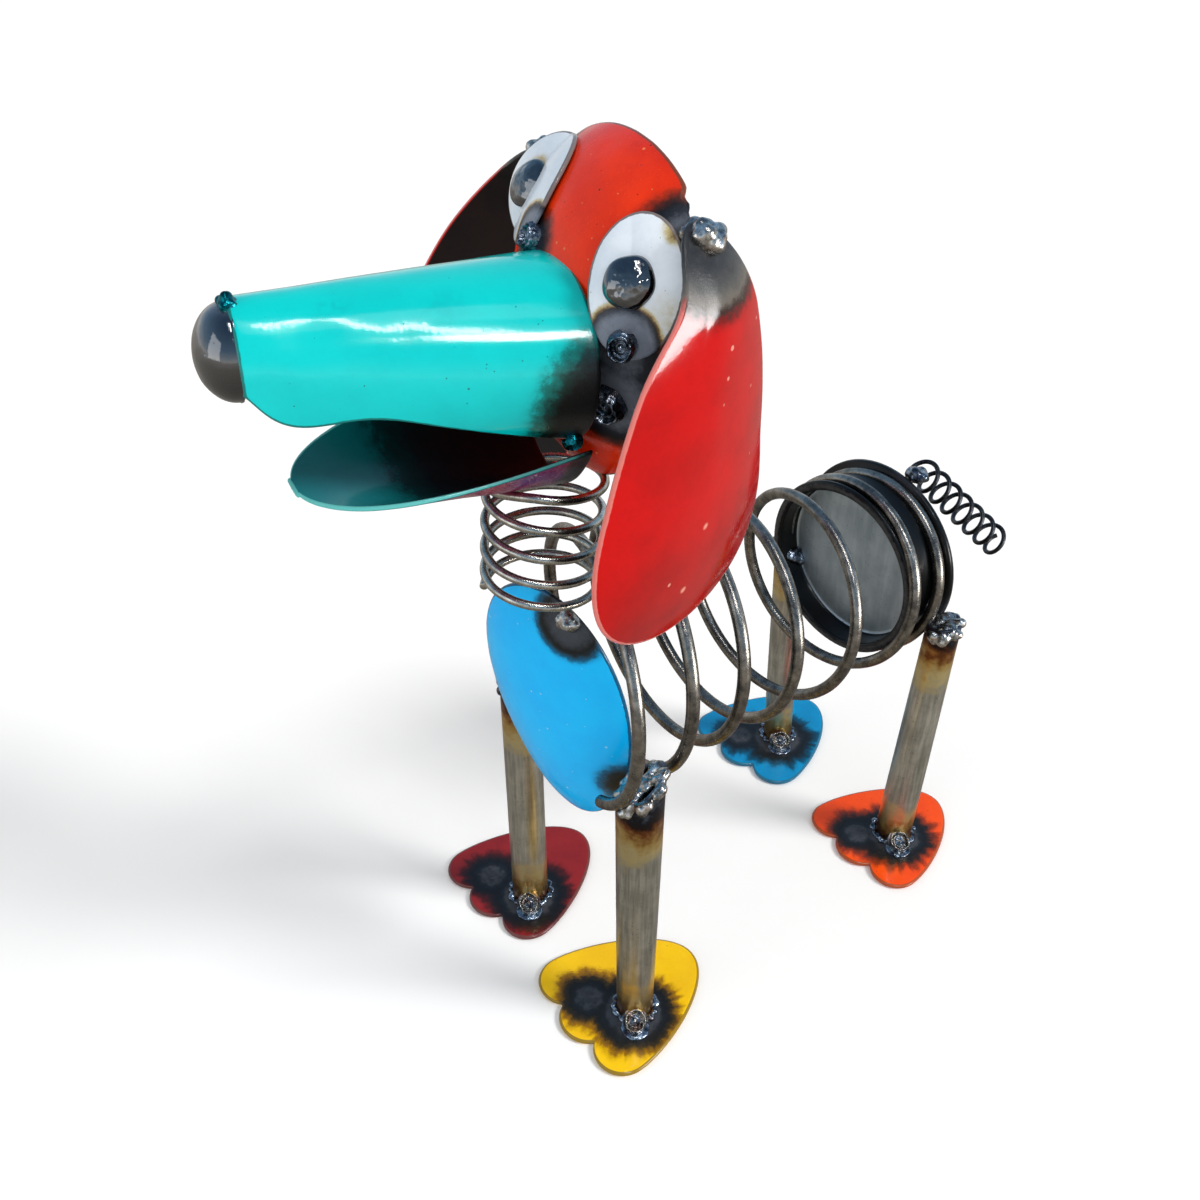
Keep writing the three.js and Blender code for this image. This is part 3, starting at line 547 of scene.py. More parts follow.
def enamel(name, base, deep, burn_and_shade_stops, rough=0.12, coat=0.8, metallic=0.0, edge_col=(0.5, 0.5, 0.5, 1), edge_w=0.5,
           speck=None, speck_dark=None, mottle=0.5, peel=0.05, dust=0.0, fleck_scale=0.22, spec=0.25):
    """Gloss paint on sheet steel. Attributes: burn 0..1, edge mm, shade 0..1. On the jaw's inside the burn ramp also
    paints shade.
    """
    g = Graph(name)
    cloud = g.noise(0.045, 4, 0.55)
    fine = g.noise(0.55, 4, 0.6)
    blot = g.add(g.mul(g.step(cloud, 0.35, 0.68), 0.75), g.mul(g.step(fine, 0.4, 0.75), 0.25))
    shade = g.attr("shade")
    col = g.mix(g.add(g.mul(blot, mottle), shade, clamp=True), base, deep)
    if speck is not None:
        s1 = specks(g, fleck_scale, 0.10, 0.13)
        s2 = specks(g, fleck_scale * 2.6, 0.05, 0.18)
        pits = g.mx(s1, s2)
        col = g.mix(pits, col, speck)
    else:
        pits = None
    if speck_dark is not None:
        s3 = specks(g, fleck_scale * 1.3, 0.07, 0.12)
        s3 = g.mx(s3, specks(g, fleck_scale * 3.4, 0.035, 0.2))
        col = g.mix(g.mul(s3, 0.85), col, speck_dark)
        pits = s3 if pits is None else g.mx(pits, s3)
    if dust > 0:
        du = g.mul(g.step(g.noise(1.6, 5, 0.7), 0.52, 0.8), dust)
        col = g.mix(du, col, (0.75, 0.78, 0.76, 1))
    b = g.attr("burn")
    wob = g.sub(g.noise(0.32, 5, 0.65), 0.5)
    grain = g.sub(g.noise(2.2, 3, 0.7), 0.5)
    bb = g.add(b, g.mul(g.add(g.mul(wob, 0.42), g.mul(grain, 0.16)), g.step(b, 0.0, 0.25)), clamp=True)
    bcol = g.ramp(bb, burn_and_shade_stops)
    bmask = g.step(bb, 0.02, burn_and_shade_stops[1][0] if burn_and_shade_stops[1][0] > 0.05 else 0.2)
    col = g.mix(bmask, col, bcol)
    # The rim band in edge_col; on the jaw's inside it is a painted highlight.
    e = g.attr("edge")
    ej = g.add(e, g.mul(g.sub(g.noise(0.5, 3, 0.6), 0.5), 1.1 * edge_w))
    em = g.mul(g.step(ej, edge_w, edge_w * 0.45), g.step(bb, 0.6, 0.2))
    col = g.mix(em, col, edge_col)
    r = g.add(g.mul(g.noise(0.9, 4, 0.6), 0.10), rough - 0.05)
    r = g.add(r, g.mul(g.step(bb, 0.15, 0.75), 0.28), clamp=True)
    peel_n = g.noise(0.75, 3, 0.55)
    h = g.add(g.mul(peel_n, peel), g.mul(g.mul(g.noise(1.8, 5, 0.7), g.step(bb, 0.1, 0.8)), 0.5))
    if pits is not None:
        h = g.sub(h, g.mul(pits, 0.5))
    nrm = g.bump(h, 0.5, 0.0006)
    g.shader(Base_Color=col, Roughness=r, Metallic=metallic, Normal=nrm, Coat_Weight=coat * 0.6, Coat_Roughness=0.03)
    g.p.inputs["Specular IOR Level"].default_value = spec
    g.t.links.new(g.bump(g.add(g.mul(peel_n, 0.12), g.mul(g.step(bb, 0.2, 0.9), g.mul(g.noise(1.4, 4, 0.7), 0.7))), 0.35, 0.0006), g.p.inputs["Coat Normal"])
    return g.mat


def bare_steel(name, dark, light, tint_stops=None, rough=0.3, metallic=1.0, streak=(1, 1, 1), streak_scale=1.2, scratch=0.25, rust=0.3, bump=0.3, standing=False):
    """Bare steel with drawn or brushed streaks; attribute heat 0..1 runs through tint_stops."""
    g = Graph(name)
    v = g.vec(g.pos, streak)
    s = g.noise(streak_scale, 5, 0.6, v)
    cl = g.noise(0.07, 4, 0.6)
    col = g.mix(g.add(g.mul(g.step(s, 0.3, 0.72), 0.6), g.mul(g.step(cl, 0.35, 0.7), 0.4)), dark, light)
    ru = g.mul(g.step(g.noise(0.16, 6, 0.7), 0.56, 0.74), rust)
    col = g.mix(ru, col, srgb(96, 66, 42))
    sp = specks(g, 0.7, 0.16, 0.22)
    col = g.mix(g.mul(sp, 0.6), col, srgb(30, 26, 24))
    r = g.add(g.mul(g.noise(1.1, 4, 0.6, v), 0.22), rough - 0.1, clamp=True)
    if tint_stops:
        h = g.attr("heat")
        if standing:
            # legs: straw, then brown, then black towards the weld at the top, and brown at the foot
            xyz = g.node("ShaderNodeSeparateXYZ")
            g.set(xyz.inputs[0], g.pos)
            zz = g.add(xyz.outputs[2], g.mul(g.sub(g.noise(0.10, 2, 0.5), 0.5), 22))
            h = g.mx(g.mul(g.step(zz, 94, 134, kind="LINEAR"), 0.95), g.mul(g.step(zz, 30, 2, kind="LINEAR"), 0.62))
        hh = g.add(h, g.mul(g.mul(g.sub(g.noise(0.3, 4, 0.6), 0.5), 0.35), g.step(h, 0.0, 0.2)), clamp=True)
        tc = g.ramp(hh, tint_stops)
        col = g.mix(g.step(hh, 0.02, 0.14), col, tc)
        r = g.add(r, g.mul(g.step(hh, 0.6, 1.0), 0.15), clamp=True)
    nrm = g.bump(g.add(g.mul(s, 0.6), g.mul(g.noise(2.4, 4, 0.7), 0.5)), bump, 0.0003)
    g.shader(Base_Color=col, Roughness=r, Metallic=metallic, Normal=nrm)
    return g.mat


BLACK = srgb(7, 8, 10)
SOOT = srgb(16, 17, 20)
NAVY = srgb(24, 30, 42)
SLATE = srgb(66, 72, 84)
BROWN = srgb(58, 30, 14)
RUSTY = srgb(120, 52, 16)

HEAD_PAINT = enamel("head_enamel", srgb(250, 56, 0), srgb(206, 32, 0),
                    [(0, srgb(224, 44, 2)), (0.2, srgb(170, 42, 8)), (0.38, srgb(80, 26, 12)), (0.55, srgb(20, 16, 18)), (0.75, srgb(26, 32, 44)), (1.0, srgb(92, 98, 108))],
                    rough=0.26, coat=0.12, speck=srgb(250, 130, 70), speck_dark=srgb(60, 12, 4), edge_col=srgb(120, 60, 40), edge_w=0.6)
EAR_RED = enamel("ear_enamel", srgb(200, 0, 1), srgb(150, 0, 0),
                 [(0, srgb(190, 4, 4)), (0.22, srgb(120, 8, 10)), (0.36, srgb(48, 26, 22)), (0.55, srgb(100, 94, 86)), (0.75, srgb(70, 70, 68)), (1.0, srgb(38, 38, 40))],
                 rough=0.12, coat=0.6, speck=srgb(240, 150, 130), edge_col=srgb(220, 120, 112), edge_w=0.5, fleck_scale=0.07)
EAR_BACK = enamel("ear_inside", srgb(34, 16, 16), srgb(14, 8, 9),
                  [(0, srgb(20, 12, 12)), (0.3, srgb(14, 10, 10)), (1.0, srgb(40, 38, 40))], rough=0.32, coat=0.25, edge_col=srgb(90, 50, 46), edge_w=0.4, mottle=0.8)
SNOUT_PAINT = enamel("snout_enamel", srgb(0, 204, 202), srgb(0, 182, 184),
                     [(0, srgb(0, 190, 190)), (0.25, srgb(0, 118, 112)), (0.45, srgb(2, 46, 40)), (0.62, srgb(6, 10, 10)), (1.0, srgb(20, 20, 22))],
                     rough=0.14, coat=0.9, speck_dark=srgb(0, 70, 70), edge_col=srgb(20, 120, 116), edge_w=0.45, mottle=0.45)
SNOUT_BACK = enamel("snout_inside", srgb(24, 26, 26), srgb(10, 12, 12),
                    [(0, srgb(14, 14, 14)), (0.3, srgb(10, 10, 10)), (1.0, srgb(30, 30, 32))], rough=0.45, coat=0.1, edge_col=srgb(60, 90, 90), edge_w=0.4, mottle=0.9)
WHITE_PAINT = enamel("eye_enamel", srgb(236, 244, 252), srgb(202, 216, 232),
                     [(0, srgb(214, 214, 196)), (0.2, srgb(196, 178, 128)), (0.34, srgb(112, 80, 36)), (0.48, srgb(28, 22, 18)), (0.66, srgb(60, 64, 74)), (1.0, srgb(120, 128, 142))],
                     rough=0.2, coat=0.6, speck_dark=srgb(20, 24, 30), edge_col=srgb(120, 112, 110), edge_w=0.5, mottle=0.6, fleck_scale=0.3)
# Its pale teal edge colour is a painted highlight along the jaw's rim.
# The burn ramp of the jaw's inside runs from teal to black and paints the shade inside the trough.
JAW_IN = enamel("jaw_inside", srgb(0, 120, 124), srgb(0, 92, 98),
                [(0, srgb(0, 100, 104)), (0.3, srgb(0, 50, 52)), (0.6, srgb(2, 18, 20)), (1.0, srgb(4, 6, 8))], rough=0.25, coat=0.4, edge_col=srgb(96, 190, 186), edge_w=0.4)
JAW_OUT = enamel("jaw_outside", srgb(150, 40, 66), srgb(72, 34, 118),
                 [(0, srgb(60, 24, 40)), (0.3, srgb(40, 16, 26)), (0.6, srgb(22, 12, 18)), (1.0, srgb(10, 8, 10))], rough=0.28, coat=0.5, edge_col=srgb(150, 120, 120), edge_w=0.4, mottle=0.9)
CHEST_PAINT = enamel("chest_enamel", srgb(0, 190, 255), srgb(0, 166, 246),
                     [(0, srgb(0, 150, 214)), (0.25, srgb(0, 92, 130)), (0.45, srgb(20, 40, 48)), (0.6, srgb(12, 14, 16)), (1.0, srgb(60, 66, 74))],
                     rough=0.2, coat=0.3, speck=srgb(150, 214, 240), edge_col=srgb(20, 90, 130), edge_w=0.5)
PAW_YELLOW = enamel("paw_yellow_enamel", srgb(255, 206, 6), srgb(232, 172, 0),
                    [(0, srgb(220, 168, 0)), (0.3, srgb(150, 104, 0)), (0.5, srgb(52, 38, 8)), (0.66, srgb(14, 13, 12)), (0.85, srgb(22, 24, 28)), (1.0, srgb(60, 64, 72))],
                    rough=0.22, coat=0.6, speck_dark=srgb(90, 50, 0), edge_col=srgb(150, 120, 30), edge_w=0.12)
PAW_DARKRED = enamel("paw_darkred_enamel", srgb(150, 34, 34), srgb(110, 16, 22),
                     [(0, srgb(110, 24, 22)), (0.3, srgb(70, 18, 14)), (0.5, srgb(28, 14, 14)), (0.66, srgb(12, 10, 12)), (0.85, srgb(26, 28, 34)), (1.0, srgb(66, 68, 74))],
                     rough=0.24, coat=0.6, speck_dark=srgb(40, 6, 6), edge_col=srgb(110, 60, 56), edge_w=0.12)
PAW_ORANGE = enamel("paw_orange_enamel", srgb(255, 84, 8), srgb(236, 60, 0),
                    [(0, srgb(220, 70, 8)), (0.3, srgb(150, 50, 10)), (0.5, srgb(50, 26, 12)), (0.66, srgb(14, 12, 12)), (0.85, srgb(26, 28, 34)), (1.0, srgb(66, 68, 74))],
                    rough=0.22, coat=0.6, speck_dark=srgb(110, 30, 0), edge_col=srgb(170, 80, 40), edge_w=0.12)
PAW_BLUE = enamel("paw_blue_enamel", srgb(0, 146, 204), srgb(0, 108, 162),
                  [(0, srgb(0, 110, 156)), (0.3, srgb(0, 70, 100)), (0.5, srgb(12, 32, 42)), (0.66, srgb(10, 12, 14)), (0.85, srgb(26, 28, 34)), (1.0, srgb(66, 68, 74))],
                  rough=0.24, coat=0.6, speck_dark=srgb(0, 40, 60), edge_col=srgb(40, 110, 140), edge_w=0.12)
HEAD_BACK = enamel("head_inside", srgb(70, 44, 36), srgb(34, 26, 26),
                   [(0, srgb(50, 34, 30)), (0.3, srgb(30, 24, 24)), (0.6, srgb(20, 20, 24)), (1.0, srgb(60, 64, 72))], rough=0.5, coat=0.1, edge_col=srgb(90, 70, 60), edge_w=0.4, mottle=0.9)
CHEST_BACK = enamel("chest_inside", srgb(46, 60, 70), srgb(26, 30, 34),
                    [(0, srgb(34, 40, 46)), (0.3, srgb(20, 22, 24)), (1.0, srgb(60, 64, 72))], rough=0.5, coat=0.1, edge_col=srgb(60, 90, 110), edge_w=0.4, mottle=0.9)
GLOSS_BLACK = enamel("gloss_black_enamel", srgb(5, 6, 8), srgb(12, 14, 18),
                     [(0, srgb(8, 9, 11)), (0.3, srgb(16, 17, 20)), (1.0, srgb(60, 64, 72))], rough=0.05, coat=1.0, edge_col=srgb(50, 52, 56), edge_w=0.15, peel=0.10, speck=srgb(80, 84, 90), spec=1.0)
GLOSS_BLACK.node_tree.nodes["Principled BSDF"].inputs["IOR"].default_value = 1.75
DRUM_BLACK = enamel("drum_black", srgb(20, 22, 23), srgb(10, 11, 12),
                    [(0, srgb(14, 15, 16)), (0.3, srgb(30, 30, 32)), (1.0, srgb(70, 74, 82))], rough=0.3, coat=0.35, edge_col=srgb(70, 70, 72), edge_w=0.5, metallic=0.5, mottle=0.8)

TINTS = [(0, srgb(200, 192, 168)), (0.25, srgb(236, 216, 158)), (0.42, srgb(214, 176, 104)), (0.55, srgb(150, 92, 52)), (0.67, srgb(62, 44, 38)), (0.82, srgb(44, 46, 54)), (1.0, srgb(120, 128, 140))]
LEG_STEEL = bare_steel("leg_tube_steel", srgb(160, 158, 148), srgb(232, 228, 214), TINTS, rough=0.33, streak=(1, 1, 0.06), streak_scale=0.55, rust=0.2, standing=True)
COIL_STEEL = bare_steel("body_coil_steel", srgb(82, 80, 78), srgb(176, 168, 156), TINTS, rough=0.27, streak=(1, 1, 1), streak_scale=0.25, rust=0.3)
NECK_STEEL = bare_steel("neck_coil_steel", srgb(150, 146, 136), srgb(232, 226, 212), TINTS, rough=0.24, streak=(1, 1, 1), streak_scale=0.3, rust=0.2)
TAIL_STEEL = bare_steel("tail_coil_steel", srgb(34, 34, 36), srgb(92, 92, 94), TINTS, rough=0.3, rust=0.1)
DISC_STEEL = bare_steel("drum_disc_steel", srgb(150, 164, 172), srgb(206, 218, 224), TINTS, rough=0.34, metallic=0.7, streak=(1, 1, 0.12), streak_scale=0.12, rust=0.05, bump=0.12)
WELD_TINTS = [(0, srgb(52, 56, 64)), (0.3, srgb(92, 98, 108)), (0.55, srgb(120, 126, 134)), (0.8, srgb(150, 150, 148)), (1, srgb(190, 190, 186))]


def weld_metal(name, dark, light, tint, rough=0.22, tint_amount=0.35):
    g = Graph(name)
    n1 = g.noise(0.35, 5, 0.65)
    n2 = g.noise(1.5, 4, 0.7)
    col = g.mix(g.step(n1, 0.35, 0.7), dark, light)
    col = g.mix(g.mul(g.step(g.noise(0.22, 3, 0.5), 0.5, 0.72), tint_amount), col, tint)
    col = g.mix(g.mul(specks(g, 0.6, 0.18, 0.25), 0.7), col, srgb(30, 30, 32))
    r = g.add(g.mul(n2, 0.3), rough - 0.12, clamp=True)
    nrm = g.bump(g.add(g.mul(n2, 0.6), g.mul(g.noise(4.0, 3, 0.7), 0.15)), 0.22, 0.0004)
    g.shader(Base_Color=col, Roughness=r, Metallic=1.0, Normal=nrm)
    return g.mat


WELD = weld_metal("weld_bead", srgb(118, 116, 112), srgb(238, 234, 226), srgb(196, 138, 100))
WELD_DARK = weld_metal("weld_burnt", srgb(44, 50, 60), srgb(168, 180, 192), srgb(120, 88, 72), rough=0.22)
WELD_TEAL = weld_metal("weld_teal", srgb(0, 60, 66), srgb(40, 150, 156), srgb(0, 110, 116), rough=0.25, tint_amount=0.7)


# ------------------------------------------------------------------ the named sizes
SHEET, THIN, GAP = 1.6, 1.4, 0.3
HEAD = dict(at=[1.1, -93.2, 299.2], yaw=10.3, pitch=8.9, roll=5.5, half=50.0, high=49.5, low=57.0, depth=27.0, rim=66, taper=0.2)
EYES = dict(
    left=dict(at=[33.3, -110.3, 318.3], az=42.5, el=27.8, rot=-2.5, half=13.2, high=19.2, taper=0.0, pupil=(-1.5, 0.5)),
    right=dict(at=[-25.4, -98.5, 326.3], az=1, el=34.1, rot=28.6, half=15.4, high=18.6, taper=0.25, pupil=(-3.2, 2.0)),
)
PUPIL = dict(radius=7.3, rise=4.2)
SNOUT = dict(at=[1.8, -115.8, 291.5], yaw=14.6, pitch=3.9, roll=-5.4, length=92.3, back_half=33.9, back_high=27.4, nose_half=16.0, nose_high=22.4,
             wrap=[(0, 145), (0.5, 115), (0.7, 109), (0.86, 113), (0.95, 102), (1, 88)])
NOSE = dict(radius=13.5, rise=10.0)
JAW = dict(at=[-2.8, -115.5, 270.2], yaw=9.4, pitch=-4.5, roll=6.3, length=82.1, half=27.8, deep=26.3, tip=4.0)
EARS = dict(left=dict(at=[50.9, -102.7, 266.3], az=101, el=-2.4, rot=-3.7), right=dict(at=[-61.0, -93.7, 268.3], az=-147.3, el=-2, rot=20.5))
EAR = dict(half=37.6, high=72.6, low=57.6, depth=6.0, rim=40, taper=-0.43, bend_at=44.7, bend_radius=36.6, front_in=5, front_at=52, front_span=12, rear_in=3, rear_at=-2, rear_span=24)
CHEST = dict(at=[-0.6, -115.7, 144.9], az=13.9, el=-8.1, rot=-0.3, half=33.1, high=60.1, depth=8.6, rim=62, taper=0.15)
LEGS = dict(
    front_left=dict(foot=[40.2, -109.6], top=[40.2, -109.6, 142.0], d0=15.2, d1=18.4),
    front_right=dict(foot=[-37.2, -109.3], top=[-37.2, -109.3, 132.0], d0=16.2, d1=16.2),
    rear_left=dict(foot=[40.7, 53.0], top=[41.5, 57.5, 130.0], d0=17.0, d1=14.6),
    rear_right=dict(foot=[-43.5, 56.6], top=[-41.5, 47.5, 130.0], d0=14.6, d1=14.0),
)
TUBE_WALL = 1.5
PAW = dict(thick=2.0, heel=34.5, toe_r=12.0, mid_r=12.5, toe_x=20.5, toe_y=-19.0, mid_y=-21.5)
PAWS = dict(front_left=([33.1, -106.7], -2, 0.995), front_right=([-47.4, -102.4], 6, 0.975), rear_left=([38.0, 53.6], -1, 0.945), rear_right=([-47.8, 56.2], 4, 0.99))


def dome(half, high, depth, rim, low=None, taper=0.0, **_):
    m = rim * DEG
    low = high if low is None else low

    def f(u, v):
        t = u * m
        r, c, s = np.sin(t) / math.sin(m), np.cos(v * TAU), np.sin(v * TAU)
        return np.stack([half * r * c * (1 + taper * s), -depth * (np.cos(t) - math.cos(m)) / (1 - math.cos(m)), np.where(s > 0, high, low) * r * s], -1)

    return f


HEAD_M = pose_matrix(**HEAD)


def before_head(p):
    """How far a layout point is in front of the head plate's outer face, in mm."""
    q = unplace(p, HEAD_M)
    a = q[..., 2] / np.where(q[..., 2] > 0, HEAD["high"], HEAD["low"])
    r = np.hypot(q[..., 0] / HEAD["half"], a)
    for _ in range(8):
        r = np.hypot(q[..., 0] / (HEAD["half"] * (1 + HEAD["taper"] * np.where(r > 1e-6, a / np.maximum(r, 1e-6), 0))), a)
    m = HEAD["rim"] * DEG
    t = np.arcsin(np.clip(r, 0, 1) * math.sin(m))
    return -q[..., 1] - np.where(r < 1, HEAD["depth"] * (np.cos(t) - math.cos(m)) / (1 - math.cos(m)), 0)


def near(p, c, r0, r1):
    """1 inside r0 of c, fading to 0 at r1."""
    return smooth(np.linalg.norm(p - np.asarray(c, float), axis=-1), r1, r0)


def near_line(p, a, b, r0, r1):
    a, b = np.asarray(a, float), np.asarray(b, float)
    ab = b - a
    t = np.clip(((p - a) @ ab) / (ab @ ab), 0, 1)
    return smooth(np.linalg.norm(p - (a + t[..., None] * ab), axis=-1), r1, r0)


pieces = []

# ------------------------------------------------------------------ head shell
def head_dent(P, U, W):
    q = unplace(P, HEAD_M)
    d = 0.9 * (fbm(P, 0.035, 2, 5) - 0.5) + 0.35 * (fbm(P, 0.12, 2, 6) - 0.5)
    # a fold low on the dog's left cheek
    d = d - 1.3 * np.exp(-(((q[..., 2] + 38) / 4.0) ** 2)) * smooth(q[..., 0], 4, 18)
    # an angle round the plate, not used; the nick in the upper left rim is cut in head_face
    a = np.arctan2(q[..., 2], q[..., 0])
    return d


def head_face(u, v):
    f = dome(**HEAD)
    # a nick cut into the rim near the top left
    c = np.exp(-(((v - 0.155) / 0.010) ** 2)) * 0.045 + np.exp(-(((v - 0.172) / 0.006) ** 2)) * 0.03
    return place(f(u * (0.992 - c), v), HEAD_M)


sh = Sheet(head_face, 62, 260, SHEET, True, dent=head_dent)
P = sh.verts
WELD_EAR_L = np.array([45.5, -98, 333.0])
WELD_EAR_R = np.array([-39.4, -88.2, 333.2])
burn = np.maximum.reduce([
    near(P, [44, -104, 331], 7, 24), 0.9 * near(P, [33, -116, 300], 4, 20), near(P, [30, -117, 284], 7, 25),
    near(P, WELD_EAR_R, 5, 22), 0.75 * near(P, [-12, -114, 317], 4, 16), 0.65 * near(P, [40, -104, 268], 5, 20),
])
shade = 0.25 * smooth(P[:, 2], 300, 255) + 0.5 * smooth(sh.edge, 16, 0) * smooth(P[:, 2], 300, 330)
o = sh.build("head_plate", [HEAD_PAINT, HEAD_BACK, HEAD_PAINT], dict(burn=burn, shade=shade))
finish_piece(o, "head_paint", "head_shell")


# ------------------------------------------------------------------ eye plates and pupils
def eye_face(side):
    E = EYES[side]
    base = dome(E["half"], E["high"], 3.4, 50, taper=E["taper"])
    m = plate_matrix(**E)
    n = -m[0][:, 1]

    def f(u, v):
        p = place(base(u, v), m)
        probe = p - n * (THIN + GAP + 0.25)
        lo, hi = np.zeros(p.shape[:-1]), np.full(p.shape[:-1], 30.0)
        hit = before_head(probe) < 0
        for _ in range(22):
            mid = (lo + hi) / 2
            inside = before_head(probe + n * mid[..., None]) < 0
            lo, hi = np.where(inside, mid, lo), np.where(inside, hi, mid)
        return p + n * np.where(hit, hi, 0)[..., None]

    return f, m, n


EYE_WELD = dict(left=np.array([37.1, -118.2, 304.6]), right=np.array([-11.8, -112.7, 319.2]))
for side in ("left", "right"):
    f, m, n = eye_face(side)
    sh = Sheet(f, 40, 150, THIN, True, dent=lambda P, U, W: 0.35 * (fbm(P, 0.09, 2, 21) - 0.5))
    P = sh.verts
    if side == "left":
        burn = np.maximum.reduce([near(P, EYE_WELD["left"], 7, 13.5), 0.8 * near(P, [42, -104, 338.5], 3, 10.5), 0.16 * near(P, [42, -104, 312], 2, 14)])
    else:
        burn = np.maximum(near(P, EYE_WELD["right"], 6.5, 12.5), 0.35 * near(P, [-30, -100, 330], 2, 10))
    o = sh.build("eye_sheet_" + side, [WHITE_PAINT, HEAD_BACK, WHITE_PAINT], dict(burn=burn, shade=np.zeros(len(P))))
    finish_piece(o, "eye_white", "eye_plate_" + side)
    # pupil: a pressed cap, its gloss skin full of small dimples
    E = EYES[side]
    px, pz = E["pupil"]
    mid = f(np.array([0.0]), np.array([0.0]))[0]
    # seat of the cap on the plate
    us, vs = np.meshgrid(np.linspace(0, 1, 40), np.linspace(0, 1, 80), indexing="ij")
    grid = f(us, vs).reshape(-1, 3)
    target = m[1] + m[0] @ np.array([px, 0, pz])
    lat = grid - target
    lat = lat - (lat @ n)[:, None] * n
    seat = grid[np.argmin((lat ** 2).sum(1))]
    R, H = PUPIL["radius"], PUPIL["rise"]
    rows, segs = 30, 96
    prof = []
    for i in range(rows + 1):
        a = i / rows * 90 * DEG
        prof.append((max(1e-4, R * math.sin(a)), -H * math.cos(a) ** 0.9 if i < rows else 0.0))
    prof += [(R * 1.0, 1.2), (R * 0.9, 2.6)]
    verts, faces, rr, hh = lathe(prof, segs)
    ang = np.arctan2(verts[:, 2], verts[:, 0])
    wob = 1 + 0.035 * np.sin(2 * ang + 0.6) + 0.02 * np.sin(5 * ang + 2.0)
    verts[:, 0] *= wob
    verts[:, 2] *= wob * 1.02
    k = smooth(rr, R * 0.98, R * 0.7)
    verts[:, 1] += k * (0.55 * (fbm(verts, 0.42, 3, 31) - 0.5) + 0.9 * (fbm(verts, 0.16, 2, 33) - 0.5))
    verts = verts @ m[0].T + seat
    edge = (R - rr)
    o = make_object("pupil_cap_" + side, verts, faces, [GLOSS_BLACK], None, dict(burn=np.zeros(len(verts)), edge=np.abs(edge) + 0.3, shade=np.zeros(len(verts))))
    finish_piece(o, "gloss_black", "pupil_" + side)

# ------------------------------------------------------------------ snout
wrap = spline(SNOUT["wrap"])
SNOUT_M = pose_matrix(**SNOUT)


def snout_raw(u, v):
    q = 2 * v - 1
    b = SNOUT["back_half"] + (SNOUT["nose_half"] - SNOUT["back_half"]) * u
    c = SNOUT["back_high"] + (SNOUT["nose_high"] - SNOUT["back_high"]) * u
    w = wrap(np.clip(u, 0, 1)) * DEG * q
    return place(np.stack([b * np.sin(w), -SNOUT["length"] * u, c * np.cos(w)], -1), SNOUT_M)


def emerge(raw, v, sink):
    """The u where the line v comes out of the head, sunk a little."""
    lo, hi = np.zeros_like(v), np.full_like(v, 0.8)
    start = before_head(raw(lo, v)) > -sink
    for _ in range(24):
        mid = (lo + hi) / 2
        out = before_head(raw(mid, v)) > -sink
        lo, hi = np.where(out, lo, mid), np.where(out, mid, hi)
    return np.where(start, 0.0, hi)


_vv = np.linspace(0, 1, 401)
_snout_u0 = emerge(snout_raw, _vv, 0.6)


def snout_face(u, v):
    u0 = np.interp(v, _vv, _snout_u0)
    return snout_raw(u0 + (1 - u0) * u, v)


def snout_dent(P, U, W):
    q = unplace(P, SNOUT_M)
    s = -q[..., 1] / SNOUT["length"]
    ang = np.arctan2(q[..., 0], q[..., 2]) / DEG  # 0 on the ridge, positive on the dog's left
    d = 0.5 * (fbm(P, 0.03, 2, 41) - 0.5)
    # shallow creases that run back from the nose along the left side
    front = smooth(s, 0.35, 0.95)
    d = d + front * 0.55 * np.sin((ang - 40) * 0.075 + 0.4 * np.sin(s * 21)) * smooth(ang, 0, 30)
    d = d + 0.25 * smooth(s, 0.2, 0.8) * (fbm(P * np.array([1, 0.6, 1]), 0.14, 2, 43) - 0.5)
    return d


sh = Sheet(snout_face, 96, 160, THIN, False, dent=snout_dent)
P = sh.verts
q = unplace(P, SNOUT_M)
ang = np.arctan2(q[:, 0], q[:, 2]) / DEG
s = -q[:, 1] / SNOUT["length"]
burn = np.maximum.reduce([
    near(P, [32, -116, 283], 7, 33), 0.85 * near(P, [30, -121, 276], 5, 28), 0.5 * near_line(P, [33, -119, 296], [33, -119, 276], 2, 9),
    0.55 * near(P, [-13, -206, 288], 0.5, 6), 0.7 * near(P, [-30, -108, 283], 6, 24),
])
streak = fbm(np.stack([ang * 0.35, s * 1.5, 0 * s], -1), 1.0, 3, 47)
burn = np.clip(burn + (streak - 0.5) * 0.3 * smooth(burn, 0.02, 0.4) * smooth(burn, 1.0, 0.6), 0, 1)
smudge = np.maximum.reduce([0.7 * near(P, [-8, -180, 316], 1, 7), 0.6 * near(P, [2, -172, 302], 2, 11), 0.5 * near(P, [6, -155, 314], 1, 9), 0.5 * near(P, [-12, -192, 310], 1, 6)])
shade = smudge * smooth(fbm(P, 0.5, 4, 49), 0.35, 0.7)
SNOUT_SHEET = sh
o = sh.build("snout_sheet", [SNOUT_PAINT, SNOUT_BACK, SNOUT_PAINT], dict(burn=burn, shade=shade))
finish_piece(o, "snout_paint", "snout")

